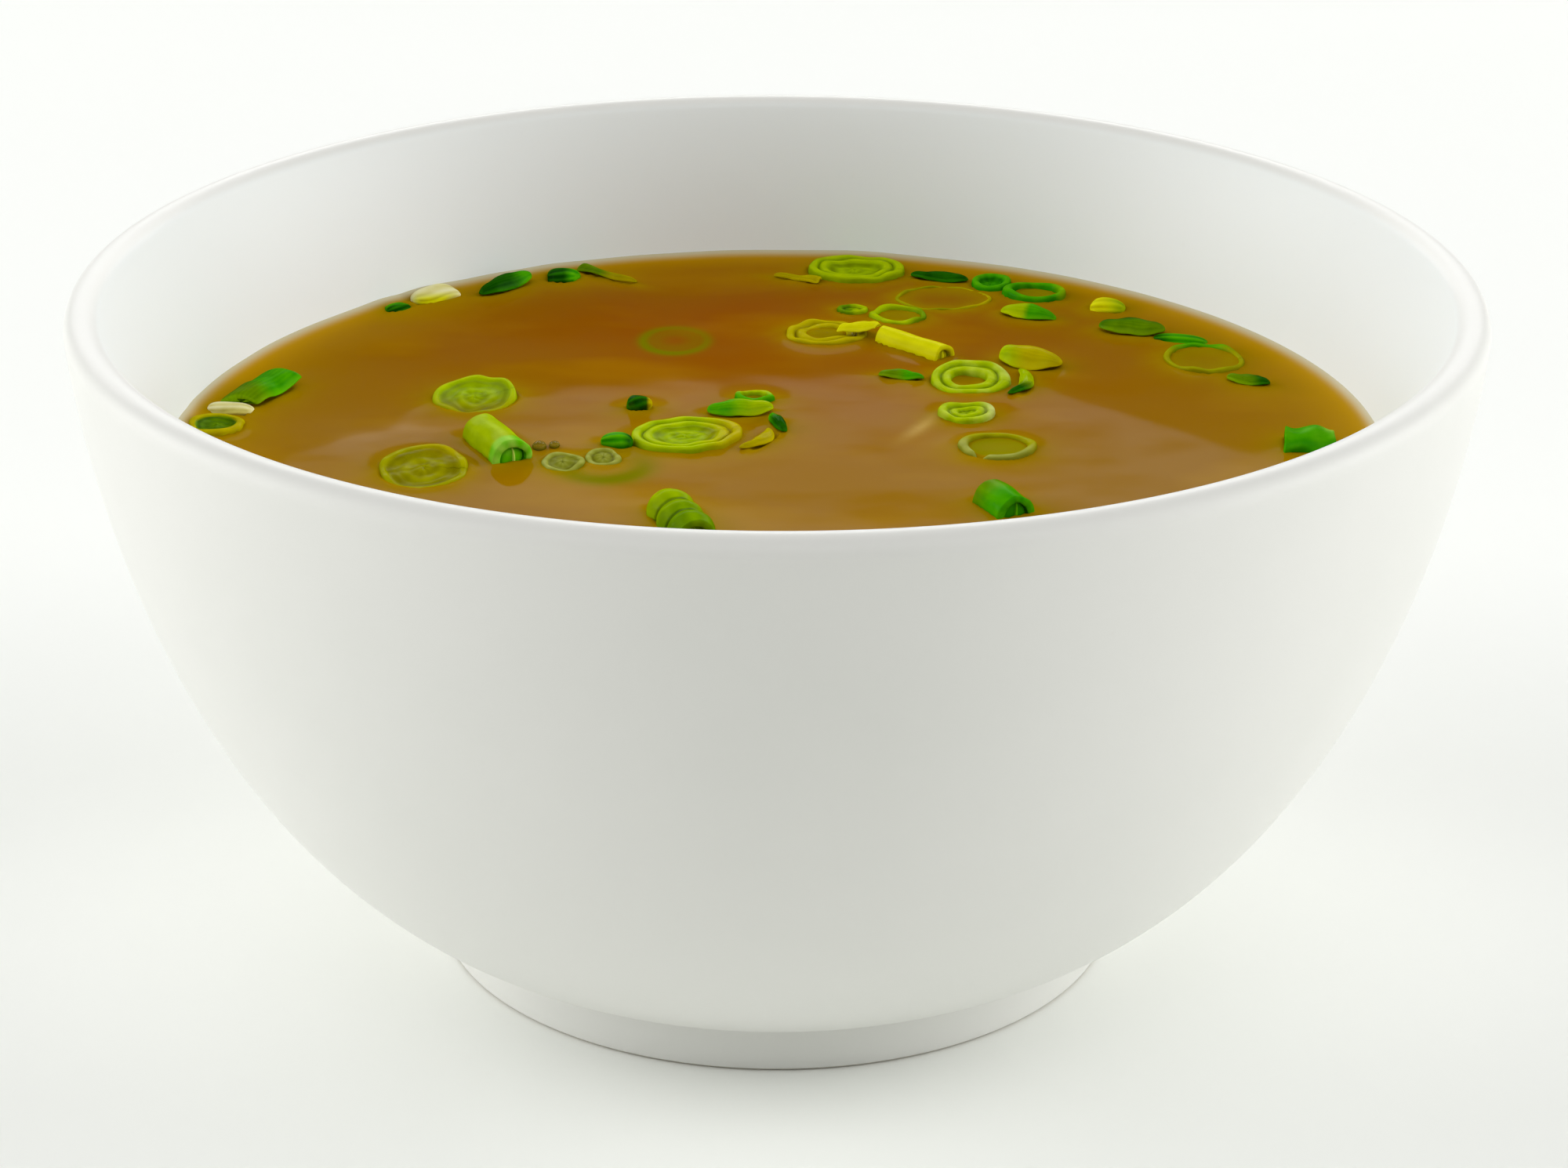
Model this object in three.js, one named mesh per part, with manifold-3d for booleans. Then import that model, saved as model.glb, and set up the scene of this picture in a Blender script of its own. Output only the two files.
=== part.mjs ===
// A bowl of vegetable broth: a footed porcelain bowl, the clear amber broth that fills it to a finger
// below the lip, and the cut spring onion that floats on the broth.
// Millimetres, +Z up. The origin is on the table, in the middle of the foot; -Y is the near side.
import * as THREE from "three";
import { mergeVertices } from "three/addons/utils/BufferGeometryUtils.js";
import Module from "manifold-3d";

// ---------------------------------------------------------------- driving dimensions

const GAP = 0.3; // clearance between pieces that touch
const AROUND = 52; // facets round the bowl and the broth
const WALL_STEPS = 9; // facets up each wall of the bowl
const LIP_STEPS = 6; // facets over the lip

const BOWL = {
  height: 75,
  rimRadius: 75,
  lipRadius: 2, // half the lip's thickness: the lip is fully rounded
  footRadius: 37.8, // where the foot stands on the table
  footTopRadius: 39.3,
  footHeight: 5.6,
  footWidth: 3.8, // width of the ring that the bowl stands on
  footBevel: 0.6,
  recessHeight: 3, // the glazed underside inside the foot ring
  outerStartAngle: 27, // the wall leaves the foot this far above level, in degrees
  outerLean: 5.3, // the wall leans out this far from upright where it meets the lip
  outerReach: 25, // how far the wall holds each of those directions
  innerLean: 25.3,
  innerReach: 27.6,
  floorRadius: 14,
  floorHeight: 10.5,
  floorReach: 49,
};

const BROTH = {
  level: 56.5,
  contactHeight: 57.4, // the broth creeps up the wall to here
  creepWidth: 1.3, // how fast that edge falls away from the wall
  creepFall: 1.4,
  creepSteps: [0.5, 1.2, 2.4], // where the edge's curve has corners, in creep widths
  creepEnd: 4,
};

const ONION = {
  wall: 1.0, // thickness of one layer of a cut ring
  groove: 0.45, // gap between two nested layers
  grooveDepth: 0.8,
  layerStep: 0.15, // an inner layer stands this much lower
  bevel: 0.35,
  leafThickness: 0.6,
  leafWave: 0.12, // height of the waves along a leaf
  leafClear: 0.45, // a leaf's lower face above the broth, between its waves
  chunkRounding: 0.8, // below 1, a chunk of stalk is nearer a block than an egg
  ridgeShare: 0.09, // how far a ridged tube swells, as a share of its radius
};

// ---------------------------------------------------------------- finishes

const finish = (color, roughness) =>
  new THREE.MeshStandardMaterial({ color, roughness, metalness: 0 });

const FINISHES = {
  porcelain: finish(0xeeeee6, 0.25),
  broth: finish(0x8a5a05, 0.1),
  darkGreen: finish(0x1d5200, 0.4),
  brightGreen: finish(0x3f9a08, 0.4),
  paleGreen: finish(0x9ab016, 0.35),
  yellow: finish(0xc9c808, 0.35),
  olive: finish(0x8f8a06, 0.35),
  cream: finish(0xe2dca0, 0.35),
};

// ---------------------------------------------------------------- solids

const wasm = await Module();
wasm.setup();

/** The geometry as a solid: shared corners merged, and triangles that collapse on the axis dropped. */
function solidOf(geometry) {
  const bare = geometry.clone();
  bare.deleteAttribute("normal");
  bare.deleteAttribute("uv");
  const merged = mergeVertices(bare, 1e-4);
  const corners = merged.index.array;
  const kept = [];
  for (let i = 0; i < corners.length; i += 3) {
    const [a, b, c] = corners.slice(i, i + 3);
    if (a !== b && b !== c && a !== c) kept.push(a, b, c);
  }
  const vertProperties = new Float32Array(merged.attributes.position.array);
  const triVerts = new Uint32Array(kept);
  return new wasm.Manifold(new wasm.Mesh({ numProp: 3, vertProperties, triVerts }));
}

/** A solid's mesh as a geometry. */
function geometryOf(solid) {
  const { vertProperties, triVerts } = solid.getMesh();
  const geometry = new THREE.BufferGeometry();
  geometry.setAttribute("position", new THREE.BufferAttribute(vertProperties, 3));
  geometry.setIndex(new THREE.BufferAttribute(triVerts, 1));
  geometry.computeVertexNormals();
  return geometry;
}

/** A profile of [radius, height] pairs, counter-clockwise, turned round the Z axis. */
function turned(profile, segments) {
  const points = profile.map(([radius, height]) => new THREE.Vector2(radius, height));
  return new THREE.LatheGeometry(points, segments).rotateX(Math.PI / 2);
}

/** Moves every corner of a geometry by a function of its position. */
function reshape(geometry, move) {
  const position = geometry.attributes.position;
  const point = new THREE.Vector3();
  for (let i = 0; i < position.count; i++) {
    move(point.fromBufferAttribute(position, i));
    position.setXYZ(i, point.x, point.y, point.z);
  }
  return geometry;
}

const radians = THREE.MathUtils.degToRad;

// ---------------------------------------------------------------- the bowl

/** The outer wall, from the top of the foot up to the lip. */
function outerWall() {
  const start = radians(BOWL.outerStartAngle);
  const lean = radians(BOWL.outerLean);
  const lipHeight = BOWL.height - BOWL.lipRadius;
  return new THREE.CubicBezierCurve(
    new THREE.Vector2(BOWL.footTopRadius, BOWL.footHeight),
    new THREE.Vector2(
      BOWL.footTopRadius + BOWL.outerReach * Math.cos(start),
      BOWL.footHeight + BOWL.outerReach * Math.sin(start),
    ),
    new THREE.Vector2(
      BOWL.rimRadius - BOWL.outerReach * Math.sin(lean),
      lipHeight - BOWL.outerReach * Math.cos(lean),
    ),
    new THREE.Vector2(BOWL.rimRadius, lipHeight),
  );
}

/** The inner wall, from the lip down to the level floor. */
function innerWall() {
  const lean = radians(BOWL.innerLean);
  const lipHeight = BOWL.height - BOWL.lipRadius;
  const lipInner = BOWL.rimRadius - 2 * BOWL.lipRadius;
  return new THREE.CubicBezierCurve(
    new THREE.Vector2(lipInner, lipHeight),
    new THREE.Vector2(
      lipInner - BOWL.innerReach * Math.sin(lean),
      lipHeight - BOWL.innerReach * Math.cos(lean),
    ),
    new THREE.Vector2(BOWL.floorRadius + BOWL.floorReach, BOWL.floorHeight),
    new THREE.Vector2(BOWL.floorRadius, BOWL.floorHeight),
  );
}

function bowlGeometry() {
  const lipHeight = BOWL.height - BOWL.lipRadius;
  const footInner = BOWL.footRadius - BOWL.footWidth;
  const profile = [
    [0, BOWL.recessHeight],
    [footInner - 1, BOWL.recessHeight],
    [footInner, BOWL.footBevel],
    [footInner + BOWL.footBevel, 0],
    [BOWL.footRadius - BOWL.footBevel, 0],
    [BOWL.footRadius, BOWL.footBevel],
  ];
  for (const p of outerWall().getPoints(WALL_STEPS)) profile.push([p.x, p.y]);
  for (let i = 1; i < LIP_STEPS; i++) {
    const angle = (Math.PI * i) / LIP_STEPS;
    profile.push([
      BOWL.rimRadius - BOWL.lipRadius + BOWL.lipRadius * Math.cos(angle),
      lipHeight + BOWL.lipRadius * Math.sin(angle),
    ]);
  }
  for (const p of innerWall().getPoints(WALL_STEPS)) profile.push([p.x, p.y]);
  profile.push([0, BOWL.floorHeight]);
  return turned(profile, AROUND);
}

// ---------------------------------------------------------------- the broth

/** The broth before the onion is cut out of it: the bowl's hollow up to the level, with its raised edge. */
function brothGeometry() {
  const wall = innerWall();
  const offWall = (step) => {
    const point = wall.getPoint(step / WALL_STEPS);
    const along = wall.getTangent(step / WALL_STEPS);
    return new THREE.Vector2(point.x + along.y * GAP, point.y - along.x * GAP);
  };
  const profile = [[0, BOWL.floorHeight + GAP]];
  let step = WALL_STEPS;
  for (; offWall(step).y < BROTH.contactHeight; step--) profile.push(offWall(step).toArray());
  const [above, below] = [offWall(step), offWall(step + 1)];
  const share = (BROTH.contactHeight - below.y) / (above.y - below.y);
  const edge = below.lerp(above, share);
  profile.push(edge.toArray());
  const rise = BROTH.contactHeight - BROTH.level;
  for (const inward of BROTH.creepSteps)
    profile.push([
      edge.x - inward * BROTH.creepWidth,
      BROTH.level + rise * Math.exp(-BROTH.creepFall * inward),
    ]);
  profile.push([edge.x - BROTH.creepEnd * BROTH.creepWidth, BROTH.level]);
  profile.push([0, BROTH.level]);
  return turned(profile, AROUND);
}

// ---------------------------------------------------------------- the cut onion

/** A ring's section from its outer foot, over one crest for each nested layer, to its inner foot. */
function ringSection({ radius, wall, layers, top, depth, core }, grown) {
  const inner = radius - layers * wall - (layers - 1) * ONION.groove;
  if (grown) {
    const outer = radius + GAP;
    const clear = top + 1;
    const hole = core || inner - GAP < 1 ? 0 : inner - GAP;
    const section = [
      [hole, -depth - GAP],
      [outer, -depth - GAP],
      [outer, clear],
      [hole, clear],
    ];
    return hole ? [...section, section[0]] : section;
  }
  const section = [
    [core ? 0 : inner, -depth],
    [radius - ONION.bevel / 2, -depth],
    [radius, -depth / 2],
  ];
  for (let layer = 0; layer < layers; layer++) {
    const outer = radius - layer * (wall + ONION.groove);
    const crest = top - layer * ONION.layerStep;
    section.push([outer, crest - ONION.bevel]);
    section.push([outer - wall / 2, crest]);
    section.push([outer - wall, crest - ONION.bevel]);
    if (layer < layers - 1)
      section.push([outer - wall - ONION.groove / 2, crest - ONION.grooveDepth]);
  }
  section.push(core ? [0, top - ONION.grooveDepth] : section[0]);
  return section;
}

/** A slice across a hollow leaf or a stalk: a ring, out of round, of one or more nested layers. */
function ringGeometry(spec, grown) {
  const { radius, squash = 1, egg = 0, around = 16, notch } = spec;
  const full = { wall: ONION.wall, layers: 1, top: 0.9, depth: 1.3, core: false, ...spec };
  const ring = turned(ringSection(full, grown), around);
  reshape(ring, (p) => {
    p.x *= 1 + (egg * p.x) / radius;
    p.y *= squash;
  });
  if (!notch || grown) return ring;
  const block = new THREE.BoxGeometry(radius, notch.width, 3 * (full.top + full.depth));
  block.translate(radius, 0, 0).rotateZ(radians(notch.angle));
  return geometryOf(solidOf(ring).subtract(solidOf(block)));
}

/** A short length of hollow leaf lying on its side along X: an oval tube, plain or ridged. */
function tubeGeometry({ length, radius, flat = 1, wall = 0.8, ridges = 0 }, grown) {
  const extra = grown ? GAP : 0;
  const section = new THREE.Shape();
  section.absellipse(0, 0, (radius + extra) * flat, radius + extra, 0, 2 * Math.PI);
  if (!grown) {
    const bore = new THREE.Path();
    bore.absellipse(0, 0, (radius - wall) * flat, radius - wall, 0, 2 * Math.PI);
    section.holes.push(bore);
  }
  const tube = new THREE.ExtrudeGeometry(section, {
    depth: length + 2 * extra,
    steps: Math.max(1, 2 * ridges),
    curveSegments: 6,
    bevelEnabled: false,
  });
  tube.translate(0, 0, -length / 2 - extra);
  return reshape(tube, (p) => {
    const turns = ridges * (p.z / length + 1 / 2);
    const swell = 1 - (ridges ? ONION.ridgeShare * Math.cos(2 * Math.PI * turns) : 0);
    p.set(p.z, p.x * swell, p.y * swell);
  });
}

// How wide a leaf is at each place along it, as a share of its width.
const OUTLINES = {
  strip: () => 1,
  lens: (u) => Math.max(0.12, Math.sqrt(1 - u * u)),
  tail: (u) => 0.5 - 0.4 * u,
};

/** The middle surface of a leaf, for u along it and v across it, both from -1 to 1. */
function leafPoint({ length, width, outline, skew = 0, arch, curl = 0 }, u, v) {
  const breadth = OUTLINES[outline](u);
  return new THREE.Vector3(
    (length * u) / 2 + skew * v,
    (breadth * width * v) / 2 + curl * u * u,
    breadth * (arch * (1 - v * v) + ONION.leafWave * v * Math.sin(4 * u + 1)),
  );
}

/** A cut piece of flat leaf: a thin wavy solid with both faces split into triangles alike. */
function leafGeometry(spec) {
  const [columns, rows] = [5, 3];
  const positions = [];
  for (const side of [1, -1])
    for (let row = 0; row <= rows; row++)
      for (let column = 0; column <= columns; column++) {
        const point = leafPoint(spec, (2 * column) / columns - 1, (2 * row) / rows - 1);
        point.z += (side / 2) * ONION.leafThickness;
        positions.push(...point.toArray());
      }
  const perFace = (columns + 1) * (rows + 1);
  const at = (column, row) => row * (columns + 1) + column;
  const triangles = [];
  for (let row = 0; row < rows; row++)
    for (let column = 0; column < columns; column++) {
      const [a, b] = [at(column, row), at(column + 1, row)];
      const [c, d] = [at(column, row + 1), at(column + 1, row + 1)];
      triangles.push(a, b, d, a, d, c);
      triangles.push(a + perFace, d + perFace, b + perFace, a + perFace, c + perFace, d + perFace);
    }
  const rim = [];
  for (let column = 0; column < columns; column++) rim.push(at(column, 0));
  for (let row = 0; row < rows; row++) rim.push(at(columns, row));
  for (let column = columns; column > 0; column--) rim.push(at(column, rows));
  for (let row = rows; row > 0; row--) rim.push(at(0, row));
  rim.forEach((a, i) => {
    const b = rim[(i + 1) % rim.length];
    triangles.push(a, a + perFace, b + perFace, a, b + perFace, b);
  });
  const leaf = new THREE.BufferGeometry();
  leaf.setAttribute("position", new THREE.Float32BufferAttribute(positions, 3));
  leaf.setIndex(triangles);
  return leaf;
}

/** A small chunk of stalk or leaf: a rounded block, narrower at one end. */
function chunkGeometry({ length, width, height, taper = 0 }, grown) {
  const extra = grown ? GAP : 0;
  const chunk = new THREE.SphereGeometry(1, 10, 6);
  return reshape(chunk, (p) => {
    const boxed = (value) => Math.sign(value) * Math.abs(value) ** ONION.chunkRounding;
    const end = 1 - taper * boxed(p.x);
    p.set(
      boxed(p.x) * (length / 2 + extra),
      boxed(p.y) * ((width / 2) * end + extra),
      boxed(p.z) * ((height / 2) * end + extra),
    );
  });
}

const SHAPES = {
  ring: ringGeometry,
  tube: tubeGeometry,
  leaf: leafGeometry,
  chunk: chunkGeometry,
};

// Every piece that floats on the broth. at is its middle; turn is counter-clockwise from +X, seen from
// above, and tilt raises its far side, both in degrees; lift is the height of the shape's own zero over
// the broth.
const GARNISH = [
  { name: "leaf_folded_left", shape: "leaf", colour: "brightGreen", at: [-57.5, 13.6], turn: 62,
    length: 8.5, width: 4.6, outline: "strip", skew: -0.6, arch: 0.9, lift: 0.3, tilt: 3 },
  { name: "chunk_cream_left", shape: "chunk", colour: "cream", at: [-60.3, 8.5], turn: -10,
    length: 5, width: 3.4, height: 1.6, lift: 0.1 },
  { name: "ring_yellow_left", shape: "ring", colour: "yellow", at: [-61.2, 3.2], turn: 10,
    radius: 3.1, squash: 0.95, core: true, wall: 0.9, top: 0.7, around: 14 },
  { name: "ring_pale_upper_left", shape: "ring", colour: "paleGreen", at: [-33.6, 12.6], turn: 20,
    radius: 4.8, core: true, wall: 0.8, top: 0.7, tilt: 7 },
  { name: "tube_pale_left", shape: "tube", colour: "paleGreen", at: [-30.1, -3.2], turn: -64,
    length: 9.4, radius: 2.3, lift: 0.3 },
  { name: "ring_olive_left", shape: "ring", colour: "olive", at: [-37.5, -9.8], turn: 0,
    radius: 4.7, squash: 1.18, core: true, wall: 0.8, top: 0.6, depth: 2, tilt: 6 },
  { name: "ring_glassy_a", shape: "ring", colour: "olive", at: [-22.8, -7.5], turn: 15,
    radius: 2.3, squash: 1.2, wall: 0.6, top: 0.4, core: true, around: 12 },
  { name: "ring_glassy_b", shape: "ring", colour: "olive", at: [-18.6, -6.3], turn: 20,
    radius: 1.9, squash: 1.2, wall: 0.6, top: 0.5, core: true, around: 12 },
  { name: "chunk_green_slice", shape: "chunk", colour: "brightGreen", at: [-17.2, -2.2], turn: -15,
    length: 3.6, width: 2, height: 2.2, lift: 0.4 },
  { name: "chunk_dark_middle", shape: "chunk", colour: "darkGreen", at: [-15.3, 9.5], turn: 10,
    length: 3, width: 2, height: 2.2, lift: 0.5 },
  { name: "ring_big_middle", shape: "ring", colour: "yellow", at: [-10, 0.1], turn: 18,
    radius: 6.2, squash: 0.77, layers: 2, egg: 0.06, core: true, around: 18 },
  { name: "leaf_crescent_middle", shape: "leaf", colour: "yellow", at: [-1.4, -1], turn: 62,
    length: 6.4, width: 1.7, outline: "lens", curl: 1.2, arch: 0.3 },
  { name: "leaf_green_middle", shape: "leaf", colour: "brightGreen", at: [-4.1, 8], turn: 6,
    length: 7.4, width: 3.2, outline: "lens", arch: 0.8, lift: 0.2, tilt: 5 },
  { name: "leaf_dark_middle", shape: "leaf", colour: "darkGreen", at: [0.1, 4.1], turn: -72,
    length: 5, width: 1.5, outline: "lens", arch: 0.5 },
  { name: "ring_green_middle", shape: "ring", colour: "paleGreen", at: [-2.5, 12.3], turn: 0,
    radius: 2.2, squash: 0.8, wall: 0.7, top: 0.9, around: 12 },
  { name: "tube_stacked_front", shape: "tube", colour: "brightGreen", at: [-9.8, -25], turn: -70,
    length: 9.5, radius: 2.4, ridges: 3, lift: 0.1 },
  { name: "tube_curl_front", shape: "tube", colour: "brightGreen", at: [23.4, -20.2], turn: -62,
    length: 5.5, radius: 2.2, lift: 0.2 },
  { name: "ring_notched_right", shape: "ring", colour: "paleGreen", at: [23.7, -2.8], turn: 0,
    radius: 4.1, squash: 0.95, wall: 0.9, top: 0.7, notch: { angle: 235, width: 0.6 } },
  { name: "ring_small_right", shape: "ring", colour: "paleGreen", at: [20.9, 7.5], turn: 0,
    radius: 3.1, squash: 0.95, layers: 2, wall: 0.8, core: true, around: 14 },
  { name: "ring_large_right", shape: "ring", colour: "paleGreen", at: [21.5, 18.6], turn: -15,
    radius: 4.4, layers: 2, egg: 0.08, tilt: 7, top: 1 },
  { name: "leaf_outer_layer_right", shape: "leaf", colour: "darkGreen", at: [28.1, 17.7], turn: 78,
    length: 8, width: 1.7, outline: "lens", curl: 1.4, arch: 0.3 },
  { name: "leaf_yellow_dome", shape: "leaf", colour: "yellow", at: [28.9, 24.7], turn: -22,
    length: 7.4, width: 4.8, outline: "lens", arch: 1.2, lift: 0.3, tilt: 6 },
  { name: "leaf_sliver_middle", shape: "leaf", colour: "brightGreen", at: [14.1, 19.8], turn: -18,
    length: 5.4, width: 1.8, outline: "lens", arch: 0.3 },
  { name: "tube_yellow_back", shape: "tube", colour: "yellow", at: [15.7, 30], turn: -45,
    length: 10, radius: 1.5, wall: 0.6, lift: 0.2 },
  { name: "ring_yellow_back", shape: "ring", colour: "yellow", at: [5.7, 35], turn: 0,
    radius: 4.7, squash: 0.9, layers: 2, top: 0.6 },
  { name: "leaf_tab_back", shape: "leaf", colour: "yellow", at: [9.5, 34.3], turn: 12,
    length: 4.6, width: 2, outline: "strip", skew: 0.6, arch: 0.4, lift: 0.75 },
  { name: "ring_green_back", shape: "ring", colour: "paleGreen", at: [14.4, 41.4], turn: -8,
    radius: 3.3, squash: 0.9, wall: 0.8, top: 0.6, around: 14 },
  { name: "ring_small_back", shape: "ring", colour: "paleGreen", at: [8.9, 43.5], turn: 0,
    radius: 1.8, squash: 0.9, wall: 0.6, top: 0.6, core: true, around: 12 },
  { name: "ring_thin_back", shape: "ring", colour: "olive", at: [19.9, 48.4], turn: 0,
    radius: 5.8, squash: 0.76, wall: 0.5, top: 0.3, depth: 0.9 },
  { name: "ring_large_back", shape: "ring", colour: "paleGreen", at: [9.6, 58.5], turn: -8,
    radius: 5.9, squash: 0.78, layers: 2, core: true, top: 1, around: 18 },
  { name: "leaf_tail_back", shape: "leaf", colour: "yellow", at: [2.4, 55.4], turn: 158,
    length: 6, width: 1.8, outline: "tail", arch: 0.3 },
  { name: "leaf_sliver_dark_back", shape: "leaf", colour: "darkGreen", at: [19.7, 55.7], turn: -16,
    length: 7.2, width: 2.4, outline: "lens", arch: 0.4 },
  { name: "ring_bright_back", shape: "ring", colour: "brightGreen", at: [25.9, 53.5], turn: 0,
    radius: 2.3, squash: 1.2, wall: 0.8, core: true, around: 12 },
  { name: "ring_double_back", shape: "ring", colour: "brightGreen", at: [30.9, 49.7], turn: -12,
    radius: 3.8, squash: 0.76, wall: 0.9, around: 14 },
  { name: "leaf_two_tone_back", shape: "leaf", colour: "darkGreen", at: [29.7, 41.8], turn: -20,
    length: 6.8, width: 3.3, outline: "lens", arch: 0.8 },
  { name: "chunk_yellow_back", shape: "chunk", colour: "yellow", at: [39.4, 44.8], turn: -20,
    length: 4.2, width: 3.8, height: 2.2, taper: 0.15, lift: 0.1 },
  { name: "leaf_edged_back", shape: "leaf", colour: "brightGreen", at: [41.6, 36.2], turn: -10,
    length: 7.8, width: 3.7, outline: "lens", arch: 0.8, lift: 0.2, tilt: 4 },
  { name: "chunk_green_back", shape: "chunk", colour: "brightGreen", at: [46.9, 33.2], turn: -20,
    length: 6.6, width: 2.6, height: 1.8 },
  { name: "ring_olive_right", shape: "ring", colour: "olive", at: [49, 26.3], turn: 0,
    radius: 4.5, squash: 1.12, wall: 0.7, top: 0.6 },
  { name: "leaf_chip_right", shape: "leaf", colour: "brightGreen", at: [53.2, 18.6], turn: -24,
    length: 5.2, width: 2.2, outline: "lens", arch: 0.3 },
  { name: "tube_flat_right", shape: "tube", colour: "brightGreen", at: [57.4, -1.8], turn: -4,
    length: 5.4, radius: 1.6, flat: 1.5, wall: 0.6, lift: 0.5 },
  { name: "chunk_dark_back_left", shape: "chunk", colour: "darkGreen", at: [-45.3, 44], turn: 40,
    length: 3.4, width: 2.6, height: 1.5 },
  { name: "chunk_cream_back_left", shape: "chunk", colour: "cream", at: [-41.1, 47.8], turn: 34,
    length: 6.3, width: 3.2, height: 2.2, taper: -0.1, lift: 0.3 },
  { name: "leaf_edged_back_left", shape: "leaf", colour: "darkGreen", at: [-33, 51.8], turn: 46,
    length: 8.4, width: 3, outline: "lens", arch: 0.9, lift: 0.2, tilt: 4 },
  { name: "chunk_dark_back", shape: "chunk", colour: "darkGreen", at: [-26.2, 55.8], turn: -10,
    length: 4, width: 3.8, height: 2, lift: 0.2 },
  { name: "leaf_tail_back_left", shape: "leaf", colour: "yellow", at: [-20.6, 56.1], turn: -37,
    length: 8.8, width: 2, outline: "tail", arch: 0.5 },
];

/** Puts a geometry of one piece where the piece floats: turned, then leant, then moved. */
function placed(geometry, { at, turn, tilt = 0, lift = 0, shape }) {
  const clear = shape === "leaf" ? ONION.leafClear + ONION.leafThickness / 2 : 0;
  geometry.rotateZ(radians(turn));
  geometry.rotateX(radians(tilt));
  return geometry.translate(at[0], at[1], BROTH.level + lift + clear);
}

// ---------------------------------------------------------------- the scene graph

function addMesh(group, name, geometry, colour) {
  const mesh = new THREE.Mesh(geometry, FINISHES[colour]);
  mesh.name = name;
  group.add(mesh);
}

const onion = new THREE.Group();
let broth = solidOf(brothGeometry());
for (const piece of GARNISH) {
  const make = SHAPES[piece.shape];
  addMesh(onion, piece.name, placed(make(piece, false), piece), piece.colour);
  if (piece.shape !== "leaf") broth = broth.subtract(solidOf(placed(make(piece, true), piece)));
}
const brothBodies = broth.decompose().sort((a, b) => b.volume() - a.volume());

const bowlOfBroth = new THREE.Group();
addMesh(bowlOfBroth, "bowl", bowlGeometry(), "porcelain");
addMesh(bowlOfBroth, "broth", geometryOf(brothBodies[0]), "broth");
bowlOfBroth.add(onion);

export default bowlOfBroth;
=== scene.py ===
"""Looks for the bowl of vegetable broth.

A footed porcelain bowl holds clear amber broth, and cut spring onion floats on it. Each visible piece is
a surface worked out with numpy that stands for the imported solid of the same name, and each finish is a
procedural material. Shapes are worked out in millimetres and written into the meshes in metres.
"""

import logging
import math
from collections.abc import Iterable, Mapping
from dataclasses import KW_ONLY, dataclass, field
from enum import Enum
from typing import Any

import bpy
import numpy as np
from mathutils import Matrix, Vector


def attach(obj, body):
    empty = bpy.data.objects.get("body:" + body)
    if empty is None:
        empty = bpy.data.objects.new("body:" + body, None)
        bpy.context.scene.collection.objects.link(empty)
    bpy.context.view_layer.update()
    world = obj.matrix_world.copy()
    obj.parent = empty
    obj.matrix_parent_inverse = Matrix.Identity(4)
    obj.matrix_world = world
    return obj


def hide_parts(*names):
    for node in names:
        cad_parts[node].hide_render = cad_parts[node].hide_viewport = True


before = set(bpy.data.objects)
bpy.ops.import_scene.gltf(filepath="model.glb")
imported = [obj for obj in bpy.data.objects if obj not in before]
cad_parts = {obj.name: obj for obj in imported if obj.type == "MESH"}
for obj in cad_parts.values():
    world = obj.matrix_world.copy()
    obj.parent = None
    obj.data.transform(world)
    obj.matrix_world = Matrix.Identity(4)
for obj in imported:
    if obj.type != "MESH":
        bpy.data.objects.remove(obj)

log = logging.getLogger("bowl_of_broth")

Array = np.ndarray
Colour = tuple[int, int, int]

MM = 0.001
BODY = "root"
TINY = 1e-6
BROTH_LEVEL = 56.5  # the broth's level over the table, in millimetres


# ---------------------------------------------------------------- shapes


def smooth(low: float, high: float, value: Array) -> Array:
    """Rises from 0 at low to 1 at high along 3 t^2 - 2 t^3.

    Args:
        low: where the rise starts.
        high: where it ends.
        value: the numbers to map.

    Returns:
        An array of the shape of value, from 0 to 1.
    """
    t = np.clip((value - low) / (high - low), 0.0, 1.0)
    return t * t * (3.0 - 2.0 * t)


def side_by_side(*columns: Array | float) -> Array:
    """Draws arrays out to their common shape and stacks them along a new last axis."""
    return np.stack(np.broadcast_arrays(*columns), -1)


def full_turn(count: int) -> Array:
    """Evenly set angles round a full turn, in radians."""
    return np.linspace(0, 2 * math.pi, count, endpoint=False)


def boxed(value: Array, power: float) -> Array:
    """The sign of value times its size to a power: below 1 it makes a circle nearer a box."""
    return np.sign(value) * np.abs(value) ** power


def bezier(points: Iterable[tuple[float, float]], t: Array) -> Array:
    """A cubic curve through two ends and towards two handles.

    Args:
        points: start, its handle, the end's handle, end.
        t: places along the curve, from 0 to 1.

    Returns:
        An array of (radius, height) rows.
    """
    a, b, c, d = (np.array(point, float) for point in points)
    t = t[:, None]
    return (1 - t) ** 3 * a + 3 * (1 - t) ** 2 * t * b + 3 * (1 - t) * t**2 * c + t**3 * d


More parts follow.
